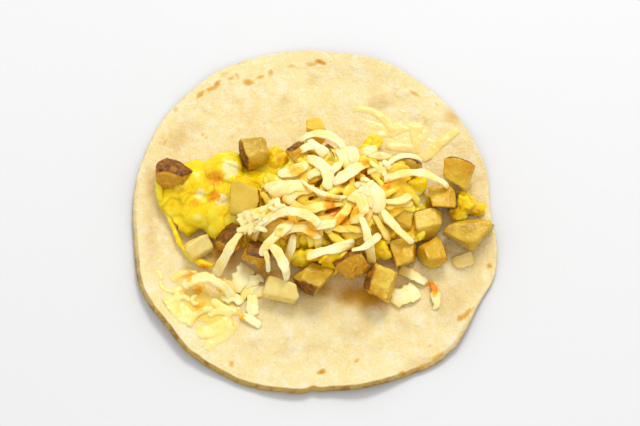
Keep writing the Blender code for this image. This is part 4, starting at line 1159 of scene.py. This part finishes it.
def layer(ground, shapes, thickness, sink, seed, piled, **looks):
    """Strands for these shapes. Piled ones raise the ground one by one, less what they give way. The others
    all lie on the same ground and run into each other. At the end all of them raise it in full."""
    shells = []
    for number, shape in enumerate(shapes):
        shells.append(lay_strand(ground, shape, thickness, sink, seed + number, **looks))
        if piled:
            ground.cover(shells[-1].points - (0, 0, SHRED_GIVE))
    for shell in shells:
        ground.cover(shell.points)
    return shells


def embossed(x, y, strands):
    """How far melted strands stand over what they lie on. Each gives its height times the root of one less
    a power of the share across it, and where they cross the cubes are summed."""
    total = np.zeros(x.shape)
    for *place, heading, length, bend, width, height in strands:
        line = arc(*place, heading, max(length - 0.7 * width, 1.0), bend, max(8, int(length * 1.5)))
        away = ((x[..., None] - line[:, 0]) ** 2 + (y[..., None] - line[:, 1]) ** 2).min(axis=-1)
        share = np.clip(2 * np.sqrt(away) / width, 0, 1)
        total += (height * np.sqrt(1 - share**2.4)) ** 3
    return np.cbrt(total)


def film_outline(film, spokes, inside):
    """How far a film's waved ellipse reaches in each direction round its middle, cut off at the circle
    inside which it stays, if there is one."""
    centre_x, centre_y, half_length, half_width, turn, _ = film
    angle = np.arange(spokes) * 2 * math.pi / spokes
    wave = 1 + 0.10 * np.sin(3 * angle + centre_x) + 0.06 * np.sin(5 * angle + centre_y)
    x, y = turned(half_length * np.cos(angle) * wave, half_width * np.sin(angle) * wave, turn)
    if inside:
        square, slant = x * x + y * y, centre_x * x + centre_y * y
        room = inside**2 - centre_x**2 - centre_y**2
        share = np.minimum((np.sqrt(slant**2 + square * room) - slant) / square, 1)
        x, y = x * share, y * share
    return x, y


def film_shell(film, sole_at, height_at, spokes, rows, inside=None):
    """A closed sheet that lies on its sole, on a grid of angle by share: out along the sole, and back at a
    height over it."""
    reach_x, reach_y = film_outline(film, spokes, inside)
    shares = np.linspace(0, 1, rows + 1)[1:]
    rings = []
    for upper, row in ((False, shares), (True, shares[::-1])):
        x, y = film[0] + reach_x * row[:, None], film[1] + reach_y * row[:, None]
        z = sole_at(x, y)
        if upper:
            z = z + height_at(x, y, row[:, None] + 0 * x)
        rings.append(np.stack([x, y, z], axis=-1))
    return closed_grid(np.concatenate(rings))


def film_cover(x, y, share):
    """How full a melted film is, from 0 to 1: full in its middle, with a ragged outline made by noise."""
    places = np.stack([x, y, 0 * x], axis=-1)
    ragged = 1.9 - 2.1 * share + 1.3 * fractal(places, 9.0, 76) - 0.5 * creased(places, 12.0, 77)
    return smooth_step(np.minimum(ragged, 6 * (0.86 - share)))


def strewn(count, seed, spread, lengths, widths):
    """Seeded shreds spread evenly over this share of the blanket, but for the places that are left bare."""
    drawn = random.Random(seed)
    shapes = []
    for share, along, across in spiral(count, spread, seed):
        x, y = turned(BLANKET[2] * along, BLANKET[3] * across, BLANKET[4])
        x, y = x + BLANKET[0], y + BLANKET[1]
        length = drawn.uniform(*lengths) * (1 - 0.3 * share)
        heading, bend = (drawn.uniform(-STREWN_TURN, STREWN_TURN) for _ in range(2))
        shape = (x, y, heading, length, bend, drawn.uniform(*widths))
        if all(math.hypot(x - bare_x, y - bare_y) > radius for bare_x, bare_y, radius in BARE):
            shapes.append(shape)
    drawn.shuffle(shapes)
    return shapes


def lowered(height):
    """By how much the heap of cheese has settled at this height."""
    return (1 - SETTLED_TO) * np.maximum(height - SETTLED_FROM, 0)


def settled(shell):
    """The shell, pressed down as the heap of cheese settles."""
    shell.points[:, 2] -= lowered(shell.points[:, 2])
    return shell


def crumbled(seed):
    """Short, broken shreds heaped round each row of the table of crumbled places."""
    drawn = random.Random(seed)
    shapes = []
    for x, y, radius, count in CRUMBLED:
        for _, along, across in spiral(count, 1, x):
            place = (x + radius * along, y + 0.8 * radius * across)
            width, heading, length = drawn.uniform(2.2, 3.8), drawn.uniform(0, 360), drawn.uniform(3.6, 8.0)
            shapes.append((*place, heading, length, drawn.uniform(-90, 90), width))
    return shapes


def cheese_values(points, seed, deep):
    """The values of cheese on its points: browned places with this seed, and how deep each lies, which sets
    its painted shade.
    """
    return {"browned": spots(points, CHEESE_BROWNED, 0.6, seed), "deep": deep}


def cheese_material(name, pale, warm, painted_shade, browned, roughness, glow, lined=False, depth=1.1):
    """Pale cheese with warmer clouds, painted shade of deeper yellow where it lies low in hollows, duller
    where it is thin, and browned in places.
    On strands, fine lines run along them."""
    finish = Finish(name)
    colour = finish.clouds(
        pale,
        (1, 9, 3, 0.55, 0.3, 0.40, 0.68, 1.0, warm),
        (2, 3.0, 4, 0.6, 0.6, 0.56, 0.76, 0.3, linear(252, 204, 84)),
    )
    # painted shade: deeper yellow where the point lies low under the softened top
    colour = finish.marked(colour, finish.value("deep"), 0.85, painted_shade)
    colour = finish.blend(finish.value("faint"), colour, linear(248, 224, 160))
    brown = finish.patchy("browned", 0.1, 1.7, 2.6, 4, 0.65, 0.5, seed=3)
    colour = finish.blend(finish.window(brown, 0.2, 0.6), colour, linear(252, 192, 36))
    colour = finish.blend(finish.window(brown, 0.5, 0.95), colour, browned)
    normal = finish.bumps((4, 1.8, 4, 0.6, 0.0, 0.14))
    if lined:
        lines = finish.noise(1000, 3, 0.6, seed=5, vector=finish.strand_place(1.2, 26.0))
        normal = finish.relief(lines, 0.2, normal)
    return finish.done(colour, roughness, normal, glow, depth, (1.0, 0.82, 0.42), specular=0.3)


# Settings


def number_setting(name, description, default, **kind):
    return bpy.props.FloatProperty(name=name, description=description, default=default, min=0, **kind)


def length_setting(name, description, default):
    return number_setting(name, description, default, unit="LENGTH")


def colour_setting(name, description, *screen):
    return bpy.props.FloatVectorProperty(
        name=name, description=description, default=linear(*screen), size=3, min=0, max=1, subtype="COLOR"
    )


class TortillaSettings(bpy.types.PropertyGroup):
    radius: length_setting("Radius", "Mean radius of the tortilla", 101 * MM)
    thickness: length_setting("Thickness", "Thickness of the tortilla's middle", 2 * MM)
    cream: colour_setting("Cream", "Colour of the plain dough", 255, 237, 182)
    toasted: colour_setting("Toasted", "Colour of the darkest toasted spots", 214, 140, 52)


class EggSettings(bpy.types.PropertyGroup):
    yolk: colour_setting("Yolk", "Main colour of the egg", 255, 224, 20)
    white: colour_setting("White", "Colour of the egg white in it", 255, 247, 196)
    browned: colour_setting("Browned", "Colour of the browned egg", 228, 132, 8)


class PotatoSettings(bpy.types.PropertyGroup):
    flesh: colour_setting("Flesh", "Colour of pale potato", 238, 200, 62)
    golden: colour_setting("Golden", "Colour of golden potato", 228, 172, 20)
    skin: colour_setting("Skin", "Colour of the roasted skin", 176, 112, 20)


class CheeseSettings(bpy.types.PropertyGroup):
    strand: length_setting("Strand thickness", "Thickness of a grated strand", 2.1 * MM)
    fresh: colour_setting("Fresh", "Colour of the strands on top", 255, 246, 196)
    melted: colour_setting("Melted", "Colour of the melted cheese", 255, 228, 104)
    browned: colour_setting("Browned", "Colour of the browned cheese", 240, 138, 14)


class StageSettings(bpy.types.PropertyGroup):
    floor: colour_setting("Floor", "Colour of the surface that it lies on", 247, 247, 247)
    distance: length_setting("Camera distance", "From the camera to the burrito", 750 * MM)
    elevation: number_setting("Elevation", "Camera's angle over the table", math.radians(72), subtype="ANGLE")
    lens: number_setting("Lens", "Focal length in millimetres", 76.0)
    key: number_setting("Key light", "Power of the main light in watts", 17.5)
    fill: number_setting("Fill light", "Strength of the light all round", 0.86)


# Operators


class BURRITO_OT_tortilla(bpy.types.Operator):
    """Makes the flour tortilla"""

    bl_idname = "burrito.tortilla"
    bl_label = "Tortilla"

    def execute(self, context):
        settings = context.scene.burrito_tortilla
        shell = tortilla_shell(settings.radius / MM, settings.thickness / MM)
        values = {
            "toast": spots(shell.points, TOASTED, 0.5, 12, 2.2),
            "blotch": spots(shell.points, BLOTCHED, 0.5, 14, 5.0),
            "oil": spots(shell.points, OILED, 0.45, 13),
            # painted shadow along and under the heap's foot
            "painted_shadow": spots(shell.points, PAINTED_FOOT_SHADOW, 0.3, 15, 6.0),
            # browned underside, and painted shade on the front edge
            "under": underside_and_front_shade(),
        }
        make_piece("flour_tortilla", shell, tortilla_material(settings), values, "tortilla", "tortilla")
        return {"FINISHED"}


class BURRITO_OT_egg(bpy.types.Operator):
    """Makes the scrambled egg in the heap and the curds at its right end"""

    bl_idname = "burrito.egg"
    bl_label = "Scrambled egg"

    def execute(self, context):
        material = egg_material(context.scene.burrito_egg)
        lobes = [lump(*lobe, seed=200 + number) for number, lobe in enumerate(EGG_LOBES)]
        small = small_curds(*SMALL_CURDS)
        curds = [lump(*curd, seed=240 + number, across=20) for number, curd in enumerate(small)]
        route = smooth_route(YOLK_STRING, STRING_STEPS)
        uneven = 1 + 0.35 * cloud(route[:, :3], 2.6, 47)
        string = cord_shell(route[:, :3] + (-1.0, 0, 0.6), 0.85 * route[:, 3] * uneven)
        shells = [mound_shell(), *lobes, *curds]
        egg_piece("egg_heap", shells, EGG_VOXEL, material, "scrambled_egg", [string])
        lobes = [lump(*lobe, seed=320 + number, rough=0.26) for number, lobe in enumerate(RIGHT_LOBES)]
        egg_piece("egg_curds", lobes, CURD_VOXEL, material, "scrambled_egg_right")
        return {"FINISHED"}


class BURRITO_OT_potatoes(bpy.types.Operator):
    """Makes the chunks of roast potato"""

    bl_idname = "burrito.potatoes"
    bl_label = "Roast potato"

    def execute(self, context):
        settings = context.scene.burrito_potato
        flesh, golden, skin = tuple(settings.flesh), tuple(settings.golden), tuple(settings.skin)
        looks = {}
        for name, pale, deep, rind, toasting, roughness, *rind_shade in (
            ("cream", linear(252, 232, 150), linear(248, 214, 110), skin, 0.1, 0.2),
            ("pale", linear(246, 212, 92), flesh, skin, 0.15, 0.2),
            ("golden", flesh, golden, skin, 0.4, 0.4),
            ("olive", linear(232, 194, 62), linear(208, 164, 30), skin, 0.15, 0.15),
            ("roasted", golden, linear(214, 156, 36), linear(168, 108, 26), 0.8, 0.8),
            ("tender", linear(254, 226, 90), linear(252, 206, 60), linear(255, 212, 80), 0.1, 0.4, 0.85),
            ("crisp", linear(252, 222, 96), golden, skin, 0.75, 1.0),
        ):
            material = potato_material("potato_" + name, pale, deep, rind, toasting, *rind_shade)
            looks[name] = material, roughness
        for number, (*size, look, sharpness) in enumerate(CHUNKS, 1):
            material, roughness = looks[look]
            shell, values = chunk_shell(number, *size, CHUNK_SHARPNESS * sharpness, roughness)
            points = shell.points * CHUNK_SWELL
            node = f"potato_{number:02d}"
            low, high = (np.array(corner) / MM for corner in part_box(node))
            own_low, own_high = points.min(axis=0), points.max(axis=0)
            shift = (low + high) / 2 - (own_low + own_high) / 2
            shift[2] = low[2] - own_low[2] if low[2] < FOOT_LEVEL else high[2] - own_high[2]
            shell.points = points + shift
            make_piece(f"roast_chunk_{number:02d}", shell, material, values, "potato", node)
        return {"FINISHED"}


class BURRITO_OT_cheese(bpy.types.Operator):
    """Makes the grated cheese on the heap: a melted lower layer and the strands on top of it"""

    bl_idname = "burrito.cheese"
    bl_label = "Grated cheese"

    def execute(self, context):
        settings = context.scene.burrito_cheese
        fresh, melted, browned = tuple(settings.fresh), tuple(settings.melted), tuple(settings.browned)
        thick = settings.strand / MM
        chunks = [obj for obj in bpy.data.objects if obj.name.startswith("roast_chunk")]
        ground = Ground(tortilla_floor(context.scene), [bpy.data.objects["egg_heap"], *chunks])
        soft = ground.softened(6)

        def sole_at(x, y):
            return np.maximum(ground.between_squares(soft, x, y) - BLANKET_SINK, BLANKET_FLOOR)

        def height_at(x, y, share):
            return FILM_EDGE + BLANKET[5] * np.interp(share, *np.array(BLANKET_LEVELS)[::-1].T)

        blanket = film_shell(BLANKET, sole_at, height_at, *BLANKET_GRID)
        ground.cover(blanket.points)
        fillers = layer(ground, strewn(*FILLER_SHREDS), thick + 0.5, SHRED_SINK + 0.7, 400, False)
        fillers += layer(ground, strewn(*MIDDLE_SHREDS), thick + 0.3, SHRED_SINK + 0.7, 480, False)
        shapes = strewn(*UPPER_SHREDS)
        upper = layer(ground, shapes, thick, SHRED_SINK + 0.5, 560, False, ragged=0.05)
        fillers += [shell for shell, shape in zip(upper, shapes) if shape[1] > MELTED_BEHIND]
        middle = [shell for shell, shape in zip(upper, shapes) if shape[1] <= MELTED_BEHIND]
        top = layer(ground, TOP_SHREDS, thick, SHRED_SINK, 430, True, blunt=0.28, ragged=0.05)
        top += layer(ground, crumbled(7), thick - 0.2, SHRED_SINK + 0.2, 530, True, fullness=2.4, ragged=0.16)
        ground.heights -= lowered(ground.heights)
        lower = [settled(shell) for shell in (blanket, *fillers)]
        shell, outward = fused("cheese_under_layer", lower, CHEESE_VOXEL, CHEESE_ROUNDS)
        points = shell.points
        uneven = 0.14 * fractal(points, 3.0, 71) - 0.08 * creased(points, 4.0, 72)
        shell.points = points + outward * uneven[:, None]
        # painted shade: deeper yellow where the under layer lies below its softened top
        values = cheese_values(points, 73, ground.dip(points, 10, 2.6))
        warm, painted_shade = linear(253, 204, 56), linear(255, 202, 40)
        material = cheese_material("cheese_soft", melted, warm, painted_shade, browned, 0.22, 0.8, depth=2.2)
        make_piece("cheese_under_layer", shell, material, values, "cheese", "grated_cheese")
        for name, strands, pale, warm in (
            ("cheese_middle_strands", middle, linear(255, 238, 156), linear(255, 214, 78)),
            ("cheese_strands", top, fresh, linear(254, 230, 146)),
        ):
            shell = settled(joined(strands))
            material = cheese_material(name, pale, warm, linear(255, 206, 56), browned, 0.28, 0.25, True)
            # painted shade: deeper yellow on the strands' lower flanks
            values = cheese_values(shell.points, 74, ground.dip(shell.points, 12, 3.4, 1.0))
            values["browned"] *= 0.85
            make_piece(name, shell, material, values, "cheese", "grated_cheese", with_uv=True)
        return {"FINISHED"}


class BURRITO_OT_melted(bpy.types.Operator):
    """Makes the two patches of cheese melted on to the tortilla, and the loose flakes"""

    bl_idname = "burrito.melted"
    bl_label = "Melted cheese"

    def execute(self, context):
        settings = context.scene.burrito_cheese
        fresh, browned = tuple(settings.fresh), tuple(settings.browned)
        floor_at = tortilla_floor(context.scene)
        tortilla = Ground(floor_at)

        def sole_at(x, y):
            return floor_at(x, y) - FILM_SINK

        front = (linear(254, 235, 164), linear(252, 224, 126), linear(251, 214, 98))
        back = (linear(252, 226, 150), linear(250, 218, 128), linear(251, 222, 150))
        for side, film, strands, colours in (
            ("front", FRONT_FILM, FRONT_SHREDS, front),
            ("back", BACK_FILM, BACK_SHREDS, back),
        ):

            def height_at(x, y, share):
                return FILM_EDGE + film[5] * film_cover(x, y, share) + embossed(x, y, strands)

            shell = film_shell(film, sole_at, height_at, *FILM_GRID, FILM_LIMIT)
            points = shell.points
            points[:, 2] += 0.10 * fractal(points, 3.0, 71)
            tortilla.cover(points)
            raised = smooth_step(embossed(points[:, 0], points[:, 1], strands) / 0.9)
            thick = points[:, 2] - floor_at(points[:, 0], points[:, 1])
            # painted shade: deeper yellow on the flat film between the raised strands
            values = cheese_values(points, 73, 1 - raised)
            values["faint"] = 1 - smooth_step(thick / (0.8 * film[5]))
            name = f"melted_patch_{side}"
            soft = cheese_material(name, *colours, browned, 0.16, 0.45)
            make_piece(name, shell, soft, values, "melted_cheese", f"melted_cheese_{side}")
        warm, painted_shade = linear(255, 232, 146), linear(252, 216, 104)
        firm = cheese_material("cheese_firm", fresh, warm, painted_shade, browned, 0.24, 0.2, True)
        shreds = layer(
            tortilla, FIRM_SHREDS, FIRM_THICKNESS, 0.5, 520, False, blunt=0.16, narrow=0.4, ragged=0.2
        )
        pieces = [("melted_patch_front_strands", joined(shreds), firm, "melted_cheese_front")]
        for number, (shape, material) in enumerate(zip(LOOSE_FLAKES, (firm, firm, firm, soft)), 1):
            shell = lay_strand(
                tortilla, shape, FIRM_THICKNESS, 0.2, 540 + number, blunt=0.12, narrow=0.3, ragged=0.2
            )
            pieces.append((f"loose_flake_{number}", shell, material, f"cheese_flake_{number}"))
        for name, shell, material, node in pieces:
            # painted shade: deeper yellow where a shred lies low against the tortilla
            values = cheese_values(shell.points, 75, tortilla.dip(shell.points, 4, 3.0))
            make_piece(name, shell, material, values, "melted_cheese", node, with_uv=True)
        return {"FINISHED"}


class BURRITO_OT_stage(bpy.types.Operator):
    """Makes the pale floor, the soft studio light and the camera"""

    bl_idname = "burrito.stage"
    bl_label = "Stage"

    def execute(self, context):
        settings = context.scene.burrito_stage
        side = FLOOR_STEPS + 1
        line = np.linspace(-FLOOR_REACH, FLOOR_REACH, side)
        x, y = np.meshgrid(line, line, indexing="ij")
        points = np.stack([x, y, 0 * x], axis=-1).reshape(-1, 3)
        first = (np.arange(FLOOR_STEPS)[:, None] * side + np.arange(FLOOR_STEPS)).ravel()
        quads = np.stack([first, first + side, first + side + 1, first + 1], axis=-1)
        finish = Finish("pale_floor")
        colour = finish.blend(finish.noise(300, 2, seed=1), tuple(settings.floor), linear(243, 243, 243))
        material = finish.done(colour, 0.6, finish.bumps((2, 1.5, 2, 0.5, 0.0, 0.01)), specular=0.2, dim=0.85)
        floor = piece_from("floor", Shell(points, quads, np.empty((0, 3), int)), material)
        world = bpy.data.worlds.new("studio")
        world.use_nodes = True
        background = world.node_tree.nodes["Background"]
        background.inputs["Color"].default_value = (1.0, 1.0, 1.0, 1.0)
        background.inputs["Strength"].default_value = settings.fill
        context.scene.world = world
        key = bpy.data.lights.new("key", "AREA")
        key.shape = "RECTANGLE"
        key.size, key.size_y = LAMP_SIDES
        key.energy = settings.key
        lamp = bpy.data.objects.new("key", key)
        lamp.location = LAMP_PLACE
        lamp.rotation_euler = (-lamp.location).to_track_quat("-Z", "Y").to_euler()
        context.scene.collection.objects.link(lamp)
        camera = bpy.data.cameras.new("camera")
        camera.lens = settings.lens
        camera.sensor_width = SENSOR_WIDTH
        camera.clip_start = 0.01
        eye = bpy.data.objects.new("camera", camera)
        back, up = (settings.distance * way(settings.elevation) for way in (math.cos, math.sin))
        eye.location = (SIGHT[0] * MM, SIGHT[1] * MM - back, SIGHT[2] * MM + up)
        eye.rotation_euler = (math.pi / 2 - settings.elevation, 0, 0)
        context.scene.collection.objects.link(eye)
        context.scene.camera = eye
        context.scene.view_settings.view_transform = "Standard"
        context.scene.view_settings.gamma = GAMMA
        return {"FINISHED"}


class BURRITO_PT_panel(bpy.types.Panel):
    """Lists the settings and the steps"""

    bl_idname = "BURRITO_PT_panel"
    bl_label = "Open burrito"
    bl_space_type = "VIEW_3D"
    bl_region_type = "UI"
    bl_category = "Burrito"

    def draw(self, context):
        for operator, settings, fields in PANEL_ROWS:
            box = self.layout.box()
            box.operator(operator.bl_idname)
            group = getattr(context.scene, settings)
            for field in fields:
                box.prop(group, field)


PANEL_ROWS = (
    (BURRITO_OT_tortilla, "burrito_tortilla", ("radius", "thickness", "cream", "toasted")),
    (BURRITO_OT_egg, "burrito_egg", ("yolk", "white", "browned")),
    (BURRITO_OT_potatoes, "burrito_potato", ("flesh", "golden", "skin")),
    (BURRITO_OT_cheese, "burrito_cheese", ("strand", "fresh", "melted", "browned")),
    (BURRITO_OT_melted, "burrito_cheese", ("fresh", "browned")),
    (BURRITO_OT_stage, "burrito_stage", ("floor", "distance", "elevation", "lens", "key", "fill")),
)
SETTINGS = {
    "burrito_tortilla": TortillaSettings,
    "burrito_egg": EggSettings,
    "burrito_potato": PotatoSettings,
    "burrito_cheese": CheeseSettings,
    "burrito_stage": StageSettings,
}
CLASSES = (*SETTINGS.values(), *(row[0] for row in PANEL_ROWS), BURRITO_PT_panel)


def register():
    for made in CLASSES:
        bpy.utils.register_class(made)
    for name, group in SETTINGS.items():
        setattr(bpy.types.Scene, name, bpy.props.PointerProperty(type=group))


def unregister():
    for name in SETTINGS:
        delattr(bpy.types.Scene, name)
    for made in reversed(CLASSES):
        bpy.utils.unregister_class(made)


def main():
    register()
    bpy.ops.burrito.tortilla()
    bpy.ops.burrito.egg()
    bpy.ops.burrito.potatoes()
    bpy.ops.burrito.cheese()
    bpy.ops.burrito.melted()
    bpy.ops.burrito.stage()


if __name__ == "__main__":
    main()
